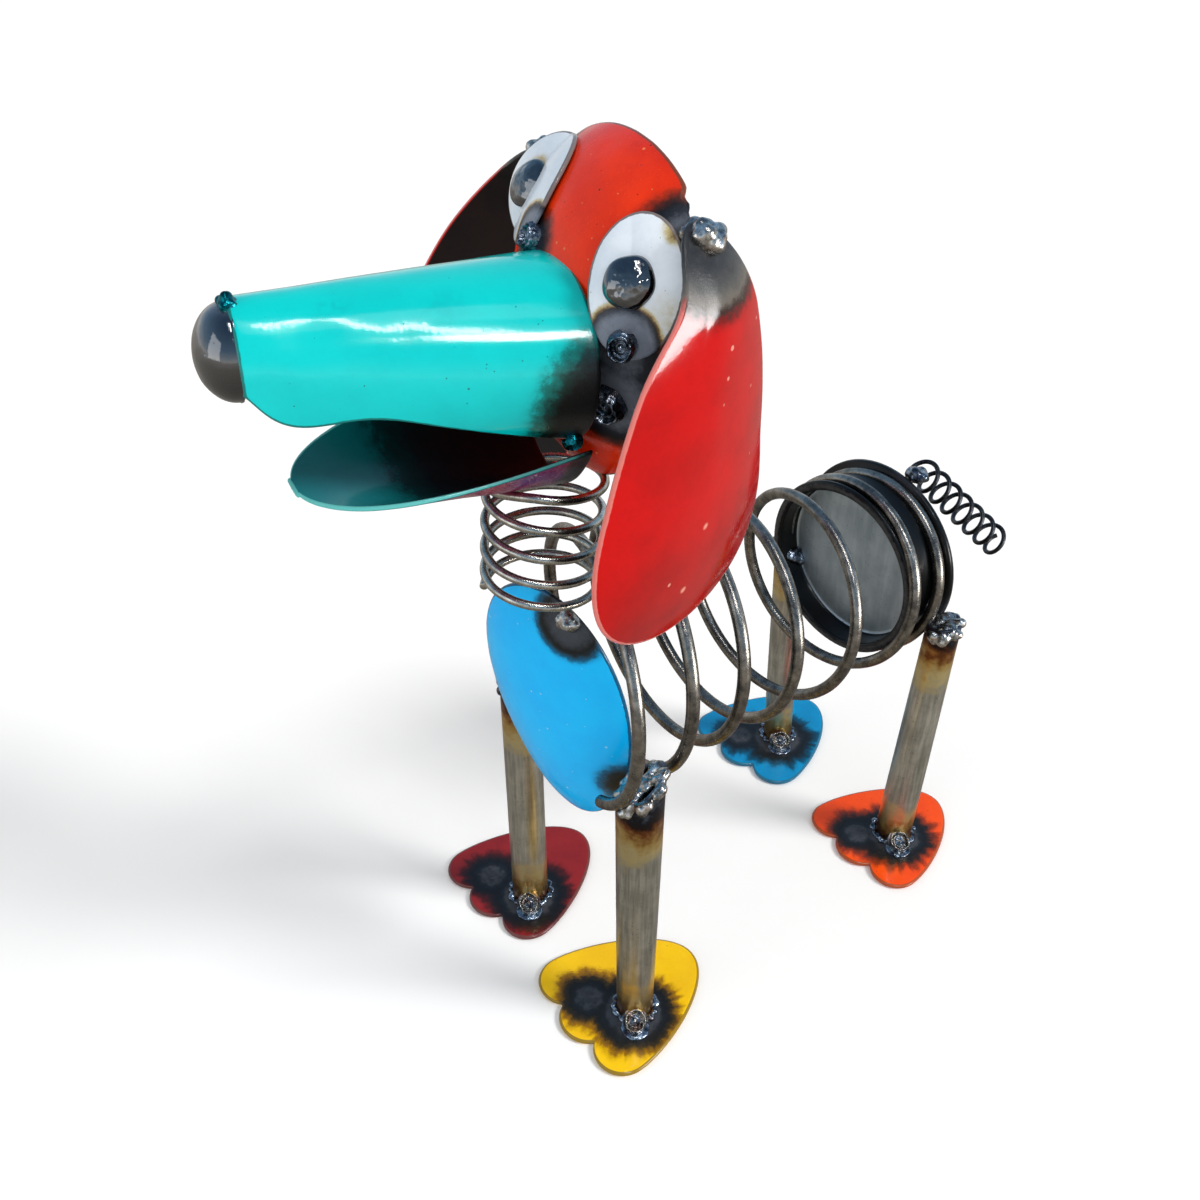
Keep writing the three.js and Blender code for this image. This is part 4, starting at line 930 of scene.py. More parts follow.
# ------------------------------------------------------------------ nose
nose_m = (SNOUT_M[0], SNOUT_M[1] + SNOUT_M[0] @ np.array([0, -SNOUT["length"] - GAP, SNOUT["nose_high"] - NOSE["radius"] - 1]))
prof = [(max(1e-4, NOSE["radius"] * math.sin(i / 40 * 90 * DEG)), -NOSE["rise"] * math.cos(i / 40 * 90 * DEG)) for i in range(41)]
prof += [(NOSE["radius"] + 0.25, 0.5), (NOSE["radius"] + 0.1, 1.0), (NOSE["radius"] - 0.6, 1.3)]
verts, faces, rr, hh = lathe(prof, 128)
k = smooth(rr, NOSE["radius"], NOSE["radius"] * 0.75)
verts[:, 1] += k * (0.8 * (fbm(verts, 0.10, 2, 51) - 0.5) + 0.12 * (fbm(verts, 0.5, 2, 52) - 0.5))
verts = place(verts, nose_m)
o = make_object("nose_dome", verts, faces, [GLOSS_BLACK], None, dict(burn=near(verts, [-21, -203.5, 319], 3, 8) * 0.5, edge=np.abs(NOSE["radius"] - rr) + 0.2, shade=np.zeros(len(verts))))
finish_piece(o, "gloss_black", "nose")

# ------------------------------------------------------------------ jaw
JAW_M = pose_matrix(**JAW)


def jaw_raw(u, v):
    q = 2 * v - 1
    w = JAW["half"] * np.sqrt(np.maximum(0.02, 1 - u ** 3.2))
    d = (JAW["deep"] + (JAW["tip"] - JAW["deep"]) * u) * (1 - u ** 3.6)
    return place(np.stack([w * q, -JAW["length"] * u, -d * (1 - q * q)], -1), JAW_M)


_jaw_u0 = emerge(jaw_raw, _vv, 0.6)


def jaw_face(u, v):
    u0 = np.interp(v, _vv, _jaw_u0)
    # even spacing near the rounded tip
    k = 1 - (1 - u) ** 1.35
    return jaw_raw(u0 + (1 - u0) * k, v)


sh = Sheet(jaw_face, 100, 90, THIN, False, dent=lambda P, U, W: 0.5 * (fbm(P, 0.04, 2, 61) - 0.5))
P = sh.verts
q = unplace(P, JAW_M)
s = -q[:, 1] / JAW["length"]
# The jaw's inside is painted darker toward the back of the trough, down to black: painted shade under the snout,
# carried as burn. The outside darkens near the head.
burn = np.where(sh.side < 0.5, smooth(s, 0.8, 0.25), 0.6 * smooth(s, 0.14, 0.0))
shade = np.zeros(len(P))
o = sh.build("jaw_sheet", [JAW_IN, JAW_OUT, JAW_IN], dict(burn=burn, shade=shade))
finish_piece(o, "jaw_paint", "jaw")


# ------------------------------------------------------------------ ears
def ear_bend(p):
    x, y, z = p[..., 0], p[..., 1], p[..., 2]
    hump = lambda at, span: np.exp(-(((z - at) / span) ** 2))
    edge = lambda w: np.clip(w / 10, 0, 1)
    x = x + EAR["front_in"] * hump(EAR["front_at"], EAR["front_span"]) * edge(-x) - EAR["rear_in"] * hump(EAR["rear_at"], EAR["rear_span"]) * edge(x)
    s = (z - EAR["bend_at"]) / EAR["bend_radius"]
    out = -y
    R = EAR["bend_radius"]
    yy = np.where(s > 0, R * (1 - np.cos(s)) - out * np.cos(s), y)
    zz = np.where(s > 0, EAR["bend_at"] + (R + out) * np.sin(s), z)
    return np.stack([x, yy, zz], -1)


for side, paint in (("left", EAR_RED), ("right", EAR_RED)):
    m = plate_matrix(**EARS[side])
    base = dome(EAR["half"], EAR["high"], EAR["depth"], EAR["rim"], low=EAR["low"], taper=EAR["taper"])
    seed = 71 if side == "left" else 75
    sh = Sheet(lambda u, v: place(ear_bend(base(u * 0.99, v)), m), 46, 190, SHEET, True, dent=lambda P, U, W: 0.9 * (fbm(P, 0.025, 2, seed) - 0.5) + 0.12 * (fbm(P, 0.1, 2, seed + 1) - 0.5))
    P = sh.verts
    top = WELD_EAR_L if side == "left" else WELD_EAR_R
    burn = near(P, top + np.array([0, 0, 2.0]), 9, 31)
    shade = 0.55 * smooth(P[:, 2], 262, 215) + 0.2 * smooth(P[:, 1], -95, -70)
    if side == "left":
        EAR_SHEET = sh
    o = sh.build("ear_sheet_" + side, [paint if side == "left" else paint, EAR_BACK, paint], dict(burn=burn, shade=shade))
    finish_piece(o, "ear_red" if side == "left" else "ear_brown", "ear_" + side)

# ------------------------------------------------------------------ chest
m = plate_matrix(**CHEST)
base = dome(CHEST["half"], CHEST["high"], CHEST["depth"], CHEST["rim"], taper=CHEST["taper"])
sh = Sheet(lambda u, v: place(base(u * 0.99, v), m), 44, 170, SHEET, True, dent=lambda P, U, W: 0.9 * (fbm(P, 0.03, 2, 81) - 0.5) + 0.2 * (fbm(P, 0.12, 2, 82) - 0.5))
P = sh.verts
q = unplace(P, m)
burn = np.maximum.reduce([near(P, [14, -121, 196], 5, 18), near(P, [36, -112, 116], 6, 24), 0.6 * near(P, [30, -108, 108], 3, 14), 0.7 * near(P, [-12, -116, 202], 2, 13), 0.8 * near(P, [-38, -112, 128], 4, 16)])
o = sh.build("chest_sheet", [CHEST_PAINT, CHEST_BACK, CHEST_PAINT], dict(burn=burn, shade=0.15 * smooth(P[:, 2], 150, 100)))
finish_piece(o, "chest_paint", "chest_plate")

# ------------------------------------------------------------------ springs
BODY = dict(
    y=[(-0.3, 57.5), (0.4, 48.5), (1, 39.3), (2, 4.4), (3, -29.2), (4, -57.4), (5, -81.8), (6.3, -112.6)],
    z=[(-0.3, 140.3), (2, 143.6), (4, 157.8), (6.3, 162.3)], x=[(-0.3, -1.9), (3, -0.9), (6.3, 1.5)],
    radius=(44, 5.3, 0.1), skew_sin=(-0.2, 1.7, -0.5), skew_cos=(-4.8, -6.9, -0.3), phase=-0.661, start=-0.3, end=6.27, wire=4.9)
_bx, _by, _bz = spline(BODY["x"]), spline(BODY["y"]), spline(BODY["z"])


def body_point(t):
    s, th = (t - 3) / 3, TAU * t + BODY["phase"]
    quad = lambda k: k[0] + k[1] * s + k[2] * s * s
    R = quad(BODY["radius"])
    return np.stack([_bx(t) + R * np.cos(th), _by(t) + quad(BODY["skew_sin"]) * np.sin(th) + quad(BODY["skew_cos"]) * np.cos(th), _bz(t) - R * np.sin(th)], -1)


t = np.linspace(BODY["start"], BODY["end"], 900)
verts, faces, along, a = tube(body_point(t), BODY["wire"] / 2, 18)
heat = np.maximum.reduce([near(verts, [44, -117, 137], 3, 18), near(verts, [40, 59, 131], 4, 16), near(verts, [-41, 49, 129], 4, 16), near(verts, [-39, -114, 129], 3, 14), near(verts, [14, -117, 203], 2, 10),
                          0.4 * smooth(fbm(verts, 0.03, 2, 91), 0.56, 0.72)])
o = make_object("body_coil", verts, faces, [COIL_STEEL], None, dict(heat=heat))
finish_piece(o, "coil_steel", "body_spring")

NECK = dict(x=0.6, y=-119.4, top=249.4, pitch=11.8, tighten=0.44, radius=19.1, lean_x=0.02, lean_y=0.067, start=-0.32, end=4.75, phase=-0.633, wire=3.0)


def neck_point(t):
    phi, h = NECK["phase"] + TAU * t, -(NECK["pitch"] * t - NECK["tighten"] * t * t)
    lx, ly = NECK["radius"] * np.cos(phi), NECK["radius"] * np.sin(phi)
    return np.stack([NECK["x"] + lx + NECK["lean_x"] * h, NECK["y"] + ly + NECK["lean_y"] * h, NECK["top"] + h - NECK["lean_x"] * lx - NECK["lean_y"] * ly], -1)


path = neck_point(np.linspace(NECK["start"], NECK["end"], 620))
q = unplace(path, JAW_M)
s = np.clip(-q[:, 1] / JAW["length"], 0, 0.9)
w = JAW["half"] * np.sqrt(1 - s ** 3.2)
floor_z = -(JAW["deep"] + (JAW["tip"] - JAW["deep"]) * s) * (1 - s ** 3.6) * (1 - np.clip(q[:, 0] / w, -1, 1) ** 2) - THIN - 1.7
press = np.where(q[:, 1] < 4, np.maximum(0, q[:, 2] - floor_z), 0)
press = np.convolve(np.pad(press, 8, mode="edge"), np.ones(17) / 17, mode="valid")
path = path - press[:, None] * JAW_M[0][:, 2]
verts, faces, along, a = tube(path, NECK["wire"] / 2, 16)
heat = np.maximum(near(verts, [14, -119, 201], 3, 12), 0.35 * smooth(fbm(verts, 0.05, 2, 93), 0.58, 0.75))
o = make_object("neck_coil", verts, faces, [NECK_STEEL], None, dict(heat=heat))
finish_piece(o, "neck_steel", "neck_spring")

TAIL = dict(root=np.array([4.4, 76, 178.3]), dir=unit(np.array([0.396, 0.945, -1.0])), coil=5.95, pitch=9.37, start=-0.42, end=6.85, phase=-1.513, wire=2.0)
_tb = unit(np.cross(TAIL["dir"], [1.0, 0, 0]))
_ta = np.cross(_tb, TAIL["dir"])


def tail_point(t):
    th = (TAU * t + TAIL["phase"])[:, None]
    return TAIL["root"] + TAIL["dir"] * (TAIL["pitch"] * t)[:, None] + TAIL["coil"] * (_ta * np.cos(th) + _tb * np.sin(th))


verts, faces, along, a = tube(tail_point(np.linspace(TAIL["start"], TAIL["end"], 420)), TAIL["wire"] / 2, 14)
o = make_object("tail_coil", verts, faces, [TAIL_STEEL], None, dict(heat=near(verts, [8, 68, 182], 3, 10)))
finish_piece(o, "tail_steel", "tail_spring")

# ------------------------------------------------------------------ drum
D = DRUM
R, w, dp = D["radius"], D["wall"], D["depth"]
outline = [(1e-4, D["web"])] + [(R - w - 3 + 3 * math.sin(a), D["web"] - 3 + 3 * math.cos(a)) for a in np.linspace(0, 1.4, 8)]
outline = [(1e-4, D["web"])] + [(r, D["web"] + 0.0) for r in np.linspace(2, R - w - 2.0, 22)] + [(R - w - 2 + 2 * math.sin(a), D["web"] - 2 + 2 * math.cos(a)) for a in np.linspace(0.2, math.pi / 2, 6)]
outline += [(R - w, D["web"] * 0.5), (R - w, 0.9)]
outline += [(R + (D["lip"] - w) / 2 + (D["lip"] + w) / 2 * -math.cos(a), 1.2 - 1.2 * math.sin(a)) for a in np.linspace(0, math.pi, 12)]
outline += [(R + D["lip"], D["lip_wide"] - 0.6), (R + D["lip"] - 0.6, D["lip_wide"]), (R + 0.5, D["lip_wide"]), (R, D["lip_wide"] + 0.5), (R, dp * 0.5), (R, dp - D["flange_wide"] - 0.5), (R + 0.5, dp - D["flange_wide"])]
outline += [(R + D["flange"] - 0.5, dp - D["flange_wide"]), (R + D["flange"], dp - D["flange_wide"] + 0.5), (R + D["flange"], dp - 0.5), (R + D["flange"] - 0.5, dp), (R - w + 0.5, dp), (R - w, dp - 0.5), (R - w, D["web"] + w + 2)]
outline += [(R - w - 2 + 2 * math.cos(a), D["web"] + w + 2 - 2 * math.sin(a)) for a in np.linspace(0.3, math.pi / 2, 5)] + [(r, D["web"] + w) for r in np.linspace(R - w - 4, 2, 14)] + [(1e-4, D["web"] + w)]
verts, faces, rr, hh = lathe(outline, 180)
disc = (rr < R - w - 0.5) & (hh < D["web"] + 0.5)
verts[:, 1] += 0.8 * (fbm(verts, 0.03, 2, 95) - 0.5) * smooth(rr, R - 3, R - 10)
verts = verts + np.array([D["x"], D["y"], D["z"]])
index = [1 if all(disc[i] for i in f) else 0 for f in faces]
heat = np.maximum(near(verts, [30, 50, 116], 3, 14), 0.25 * smooth(fbm(verts, 0.03, 3, 97), 0.5, 0.7))
edge = np.where(disc, 9, np.minimum(np.abs(hh), np.abs(hh - dp)) + 0.25)
o = make_object("drum_pan", verts, faces, [DRUM_BLACK, DISC_STEEL], index, dict(heat=heat, burn=np.maximum(near(verts, [8, 66, 183.5], 4, 18), near(verts, [40, 59, 129], 4, 16)) * 0.6, edge=edge, shade=np.zeros(len(verts))), sharp=50)
finish_piece(o, "drum_black", "rear_drum")

# ------------------------------------------------------------------ legs
for name, L in LEGS.items():
    base_z = PAW["thick"] + GAP
    foot, top = np.array([L["foot"][0], L["foot"][1], base_z - 0.3]), np.array(L["top"], float)
    axis = top - foot
    rows, segs = 150, 56
    th = np.arange(segs) / segs * TAU
    cut = np.zeros(segs)
    if name == "front_left":
        cut = 17 * (0.5 + 0.5 * np.cos(th + 2.227))  # the top is cut on a slant
    else:
        cut = 1.5 * (0.5 - 0.5 * np.cos(th - 1.0)) + 0.5 * np.sin(3 * th)
    rings = []
    hs = np.linspace(0, 1, rows + 1)
    for h in hs:
        z = h * (axis[2] - cut)
        k = (z / axis[2])[:, None]
        c = foot + axis * k
        r = (L["d0"] / 2 + (L["d1"] / 2 - L["d0"] / 2) * h) + 0.12 * (fbm(np.stack([np.cos(th), np.sin(th), 0 * th + h * 9], -1), 1.1, 2, 99) - 0.5)
        rings.append(c + np.stack([r * np.cos(th), r * np.sin(th), 0 * th], -1))
    lip = rings[-1]
    cen = foot + axis * ((axis[2] - cut) / axis[2])[:, None]
    rad = unit((lip - cen) * np.array([1, 1, 0]))
    rings.append(lip - rad * 0.35 + np.array([0, 0, 0.3]))
    rings.append(lip - rad * (TUBE_WALL - 0.35) + np.array([0, 0, 0.3]))
    rings.append(lip - rad * TUBE_WALL)
    for h in np.linspace(0.95, 0.0, 16):
        z = h * (axis[2] - cut)
        c = foot + axis * (z / axis[2])[:, None]
        r = L["d0"] / 2 + (L["d1"] / 2 - L["d0"] / 2) * h - TUBE_WALL
        rings.append(c + np.stack([r * np.cos(th), r * np.sin(th), 0 * th], -1))
    verts = np.concatenate(rings)
    faces = []
    for i in range(len(rings) - 1):
        for j in range(segs):
            j2 = (j + 1) % segs
            faces.append([i * segs + j, i * segs + j2, (i + 1) * segs + j2, (i + 1) * segs + j])
    # close the wall at the foot
    nb = (len(rings) - 1) * segs
    faces += [[nb + j, nb + (j + 1) % segs, (j + 1) % segs, j] for j in range(segs)]
    z = verts[:, 2]
    zt = top[2]
    heat = np.maximum(0.98 * smooth(z, zt - 34, zt - 4), 0.6 * smooth(z, 26, 4))
    heat = heat * (0.85 + 0.3 * fbm(verts, 0.06, 2, 101))
    o = make_object("leg_tube_" + name, verts, faces, [LEG_STEEL], None, dict(heat=np.clip(heat, 0, 1)), sharp=45)
    finish_piece(o, "leg_steel", "leg_" + name)


def crater(c, n, r, seed, rise=1.25):
    """A plug weld: a raised ripple ring round a sunk middle with a small nub."""
    n = unit(np.array(n, float))
    a = unit(np.cross(n, [0, 0, 1.0]))
    b = np.cross(a, n)
    knots = spline([(0, 0.16), (0.16, 0.12), (0.3, -0.06), (0.42, 0.08), (0.5, 0.14), (0.6, 0.02), (0.72, 0.26), (0.84, 0.30), (0.95, 0.12), (1.06, -0.1), (1.12, -0.55)])
    rs = np.linspace(0.04, 1.12, 44)
    verts, faces, rr, hh = lathe([(x, 0) for x in rs], 96)
    th = np.arctan2(verts[:, 2], verts[:, 0])
    u = rr + 0.05 * np.sin(2 * th + seed) * rr + 0.03 * np.sin(5 * th + 2 * seed) * rr
    z = knots(np.clip(u, 0, 1.12)) + 0.03 * np.sin(11 * th + 9 * u + seed) * smooth(u, 0.3, 0.7) * smooth(u, 1.1, 0.95)
    z = z + 0.08 * (fbm(np.stack([verts[:, 0], verts[:, 2], 0 * th + seed], -1), 3.2, 3, seed) - 0.5)
    base = np.array(c, float) + n * 0.5
    out = base + r * (verts[:, 0:1] * a + verts[:, 2:3] * b + z[:, None] * n * rise)
    N = len(out)
    out = np.concatenate([out, [base - n * r * 0.7], [base + n * r * rise * 0.16]])
    last = (len(rs) - 1) * 96
    flip = np.dot(np.cross(out[faces[0][1]] - out[faces[0][0]], out[faces[0][2]] - out[faces[0][0]]), n) < 0
    faces = faces + [[last + j, last + (j + 1) % 96, N] for j in range(96)] + [[(j + 1) % 96, j, N + 1] for j in range(96)]
    if flip:
        faces = [f[::-1] for f in faces]
    return out, faces


def ring_weld(name, node, c, n, r, mat, seed):
    verts, faces = crater(np.array(c) + 1.2 * unit(np.array(n, float)), n, r, seed)
    finish_piece(make_object(name, verts, faces, [mat]), "weld_metal", node)


# ------------------------------------------------------------------ paws
def circle_meet(a, ra, b, rb):
    dx, dy = b[0] - a[0], b[1] - a[1]
    d = math.hypot(dx, dy)
    k = (ra * ra - rb * rb + d * d) / (2 * d)
    h = math.sqrt(ra * ra - k * k)
    p = (a[0] + k * dx / d, a[1] + k * dy / d)
    q1, q2 = (p[0] + h * dy / d, p[1] - h * dx / d), (p[0] - h * dy / d, p[1] + h * dx / d)
    return q1 if q1[1] < q2[1] else q2


def paw_outline():
    X, Y, r, mr, my, heel = PAW["toe_x"], PAW["toe_y"], PAW["toe_r"], PAW["mid_r"], PAW["mid_y"], PAW["heel"]
    L, M, Rt = (-X, Y), (0, my), (X, Y)
    mR, mL = circle_meet(M, mr, Rt, r), circle_meet(L, r, M, mr)
    pts = []

    def bez(p0, p1, p2, p3, n=60):
        for i in range(n):
            t = i / n
            pts.append(tuple((1 - t) ** 3 * a + 3 * (1 - t) ** 2 * t * b + 3 * (1 - t) * t * t * c + t ** 3 * d for a, b, c, d in zip(p0, p1, p2, p3)))

    def arc(c, rad, a0, a1, n=50):
        if a1 > a0:
            a1 -= TAU
        for i in range(n):
            a = a0 + (a1 - a0) * i / n
            pts.append((c[0] + rad * math.cos(a), c[1] + rad * math.sin(a)))

    bez((-X - r, Y), (-X - r, Y + 17), (-17, heel), (0, heel))
    bez((0, heel), (17, heel), (X + r, Y + 17), (X + r, Y))
    ang = lambda c, p: math.atan2(p[1] - c[1], p[0] - c[0])
    arc(Rt, r, 0, ang(Rt, mR))
    arc(M, mr, ang(M, mR), ang(M, mL))
    arc(L, r, ang(L, mL), -math.pi)
    return np.array(pts)


OUT = paw_outline()
_oa = np.arctan2(OUT[:, 1], OUT[:, 0]) % TAU
_order = np.argsort(_oa)
_oa, _or = _oa[_order], np.hypot(OUT[:, 0], OUT[:, 1])[_order]
_oa = np.concatenate([_oa[-3:] - TAU, _oa, _oa[:3] + TAU])
_or = np.concatenate([_or[-3:], _or, _or[:3]])


def foot_bead_points(c, r, n, z, br, seed):
    balls = []
    for k in range(n):
        a = TAU * k / n + 0.15 * math.sin(seed + 3 * k)
        rr = r + 0.5 * math.sin(seed * 1.7 + 2.3 * k)
        b = br * (1 + 0.18 * math.sin(seed + 5.1 * k))
        balls.append(((c[0] + rr * math.cos(a), c[1] + rr * math.sin(a), z + 0.3 * math.sin(4.3 * k + seed)), (b * 1.15, b * 1.15, b)))
    return balls


for name, paint, slot in (("front_left", PAW_YELLOW, "paw_yellow"), ("front_right", PAW_DARKRED, "paw_darkred"), ("rear_left", PAW_ORANGE, "paw_orange"), ("rear_right", PAW_BLUE, "paw_blue")):
    at, turn, size = PAWS[name]
    ct, st = math.cos(turn * DEG), math.sin(turn * DEG)

    def paw_face(u, v):
        a = (v * TAU) % TAU
        r = (np.interp(a, _oa, _or) - 0.9) * size * u
        x, y = r * np.cos(a), r * np.sin(a)
        return np.stack([at[0] + x * ct - y * st, at[1] + x * st + y * ct, 0 * x + PAW["thick"]], -1)

    sh = Sheet(paw_face, 28, 200, PAW["thick"], True)
    P = sh.verts
    L = LEGS[name]
    seed = {"front_left": 1, "front_right": 2, "rear_left": 3, "rear_right": 4}[name]
    foot = np.array([L["foot"][0], L["foot"][1], PAW["thick"]])

    def splash(c, r0, r1, k):
        d = P - np.asarray(c)
        rr = np.linalg.norm(d, axis=1)
        dirn = d / np.maximum(rr, 0.5)[:, None]
        ray = fbm(dirn * 7 + k, 1.0, 3, 103 + seed)
        reach = r1 * (1.0 + 0.55 * (ray - 0.5))
        return np.clip((reach - rr) / (reach - r0), 0, 1) ** 1.2

    second = np.array([at[0] + (at[0] - foot[0]) * 0.2 - 6, at[1] - 16, PAW["thick"]])
    burn = np.maximum(splash(foot + np.array([2.5, -2.5, 0]), 10.5, 25, 0.3), 0.95 * splash(second, 5, 19, 5.1))
    o = sh.build("paw_plate_" + name, [paint, paint, paint], dict(burn=burn * (sh.side < 0.6), shade=np.zeros(len(P))))
    finish_piece(o, slot, "foot_" + name)
    # weld round the foot of the leg
    r = L["d0"] / 2 + 1.6
    toward = np.array([0.792, -0.611, 0.0])
    balls = foot_bead_points(foot, r - 0.6, 30, PAW["thick"] + 0.3, 1.5, seed)
    c = foot + toward * (L["d0"] / 2 + 2.2) + np.array([0, 0, 3.6])
    nn = unit(toward * 0.62 + np.array([0, 0, 0.78]))
    aa = unit(np.cross(nn, [0, 0, 1.0]))
    bb = np.cross(nn, aa)
    balls += [(tuple(c - nn * 2.6), 4.4), (tuple(c - nn * 3.2 - toward * 1.5), 4.0), (tuple(c - np.array([0, 0, 3.4]) + toward * 1.2), (6.4, 6.4, 1.5))]
    verts, no, fc = balls_mesh(balls, 0.45, 8)
    verts = verts + no * (0.35 * (fbm(verts, 0.4, 2, 105 + seed) - 0.5))[:, None]
    verts[:, 2] = np.maximum(verts[:, 2], 0.4)
    cv, cf = crater(c, nn, 5.2, seed, rise=2.0)
    index = [0] * len(fc) + [1] * len(cf)
    fc = fc + [[i + len(verts) for i in f] for f in cf]
    cv[:, 2] = np.maximum(cv[:, 2], 0.4)
    o = make_object("weld_ring_" + name, np.concatenate([verts, cv]), fc, [WELD_DARK, WELD], index)
    finish_piece(o, "weld_metal", "weld_foot_" + name)

# ------------------------------------------------------------------ welds
def bead(name, node, balls, mat, voxel=0.4, relax=12, rough=0.45, seed=0, slot="weld_metal"):
    verts, no, fc = balls_mesh(balls, voxel, relax)
    verts = verts + no * (rough * (fbm(verts, 0.45, 3, seed) - 0.5))[:, None]
    o = make_object(name, verts, fc, [mat])
    finish_piece(o, slot, node)
    return o


rng = np.random.default_rng(7)


def pile(c, size, n, r, axis=None, seed=0):
    g = np.random.default_rng(seed)
    out = [(tuple(c), (size[0] * 0.7, size[1] * 0.7, size[2] * 0.7))]
    for _ in range(n * 2):
        d = unit(g.normal(size=3)) * np.array(size) * 0.56
        k = r * (0.6 + 0.8 * g.random())
        out.append((tuple(np.asarray(c) + d), k))
    return out


def leg_cap(name, mat, cut, toward, seed):
    """A crust of weld metal over the open top of a leg, following its slanted cut."""
    L = LEGS[name]
    g = np.random.default_rng(40 + seed)
    c = np.array(L["top"], float)
    R = L["d1"] / 2
    balls = []
    for k in range(46):
        a, r = g.random() * TAU, R * math.sqrt(g.random()) * 0.95
        drop = cut * (0.5 + 0.5 * (r / R) * math.cos(a - toward))
        b = 1.6 + 1.5 * g.random()
        balls.append(((c[0] + r * math.cos(a), c[1] + r * math.sin(a), c[2] - drop - 0.6 + 0.8 * (g.random() - 0.5)), b))
    for k in range(10):
        a = -0.66 + (g.random() - 0.5) * 1.9
        drop = cut * (0.5 + 0.5 * math.cos(a - toward))
        balls.append(((c[0] + (R + 0.6) * math.cos(a), c[1] + (R + 0.6) * math.sin(a), c[2] - drop - 1.2 - 1.5 * g.random()), 1.5 + 1.2 * g.random()))
    bead("weld_bead_leg_" + name, "weld_leg_" + name, balls, mat, voxel=0.45, relax=18, rough=0.35, seed=204 + seed)


bead("weld_bead_ear_left", "weld_ear_left", pile([45.5, -98, 333], (9, 6.5, 4.5), 16, 2.0, seed=1), WELD, seed=201)
bead("weld_bead_ear_right", "weld_ear_right", pile([-39.4, -88.2, 333.2], (8, 6, 4.5), 14, 2.0, seed=2), WELD, seed=202)
bead("weld_bead_nose", "weld_nose", pile([-21, -203.5, 319], (4.2, 3.6, 4.2), 12, 1.2, seed=3), WELD_TEAL, seed=203, voxel=0.3)
bead("weld_bead_chest", "weld_chest", pile([14, -121.5, 198], (6, 4.6, 5.6), 14, 1.6, seed=4), WELD, seed=204)
leg_cap("front_left", WELD, 17, -2.227, 5)
leg_cap("front_right", WELD_DARK, 4, 1.0, 6)
leg_cap("rear_left", WELD, 5, -2.2, 7)
leg_cap("rear_right", WELD_DARK, 4, 1.0, 8)
bead("weld_bead_tail", "weld_tail", pile([8, 66, 183.5], (8.2, 5.4, 4.4), 16, 1.7, seed=9), WELD_DARK, seed=209)


ring_weld("weld_plug_eye_left", "weld_eye_left", [37.1, -118.2, 304.6], [0.6, -0.8, 0.1], 4.1, WELD_DARK, 1)
ring_weld("weld_plug_eye_right", "weld_eye_right", [-11.8, -112.7, 319.2], [-0.3, -0.8, 0.5], 4.1, WELD_DARK, 2)
ring_weld("weld_plug_snout_left", "weld_snout_left", [28.2, -116, 283], [0.4, -0.9, -0.2], 5.6, WELD_DARK, 3)
ring_weld("weld_plug_jaw_left", "weld_jaw_left", [23.4, -125.5, 272.6], [0.7, -0.35, -0.6], 2.9, WELD_TEAL, 4)

# ------------------------------------------------------------------ floor, light, camera
scene = bpy.context.scene
me = bpy.data.meshes.new("floor")
me.from_pydata([(-6, -6, -0.0002), (6, -6, -0.0002), (6, 6, -0.0002), (-6, 6, -0.0002)], [], [(0, 1, 2, 3)])
floor = bpy.data.objects.new("floor", me)
scene.collection.objects.link(floor)
fm = bpy.data.materials.new("pale_floor")
fm.use_nodes = True
fb = fm.node_tree.nodes["Principled BSDF"]
fb.inputs["Base Color"].default_value = (0.96, 0.96, 0.96, 1)
fb.inputs["Roughness"].default_value = 0.9
fb.inputs["Specular IOR Level"].default_value = 0.0
fb.inputs["Emission Color"].default_value = (1, 1, 1, 1)
fb.inputs["Emission Strength"].default_value = 0.02
me.materials.append(fm)
floor.visible_glossy = False

world = bpy.data.worlds.new("studio")
scene.world = world
world.use_nodes = True
wt = world.node_tree
wt.nodes.clear()
wo = wt.nodes.new("ShaderNodeOutputWorld")
geo = wt.nodes.new("ShaderNodeTexCoord")
sep = wt.nodes.new("ShaderNodeSeparateXYZ")
wt.links.new(geo.outputs["Generated"], sep.inputs[0])
rampn = wt.nodes.new("ShaderNodeValToRGB")
mapr = wt.nodes.new("ShaderNodeMapRange")
mapr.inputs[1].default_value, mapr.inputs[2].default_value = -1, 1
wt.links.new(sep.outputs[2], mapr.inputs[0])
wt.links.new(mapr.outputs[0], rampn.inputs[0])
el = rampn.color_ramp.elements
stops = [(0.0, (0.20, 0.19, 0.17, 1)), (0.36, (0.36, 0.34, 0.31, 1)), (0.47, (0.56, 0.54, 0.51, 1)), (0.51, (0.88, 0.90, 0.92, 1)), (0.57, (0.58, 0.70, 0.82, 1)), (0.70, (0.24, 0.42, 0.64, 1)), (1.0, (0.08, 0.17, 0.32, 1))]
fill_ramp(el, stops)
bg_sky = wt.nodes.new("ShaderNodeBackground")
wt.links.new(rampn.outputs[0], bg_sky.inputs[0])
bg_sky.inputs[1].default_value = 1.0
bg_white = wt.nodes.new("ShaderNodeBackground")
bg_white.inputs[0].default_value = (1, 1, 1, 1)
bg_white.inputs[1].default_value = 1.0
bg_diff = wt.nodes.new("ShaderNodeBackground")
bg_diff.inputs[0].default_value = (0.97, 0.985, 1.0, 1)
bg_diff.inputs[1].default_value = 0.62
lp = wt.nodes.new("ShaderNodeLightPath")
m1 = wt.nodes.new("ShaderNodeMixShader")
m2 = wt.nodes.new("ShaderNodeMixShader")
wt.links.new(lp.outputs["Is Glossy Ray"], m1.inputs[0])
wt.links.new(bg_diff.outputs[0], m1.inputs[1])
wt.links.new(bg_sky.outputs[0], m1.inputs[2])
wt.links.new(lp.outputs["Is Camera Ray"], m2.inputs[0])
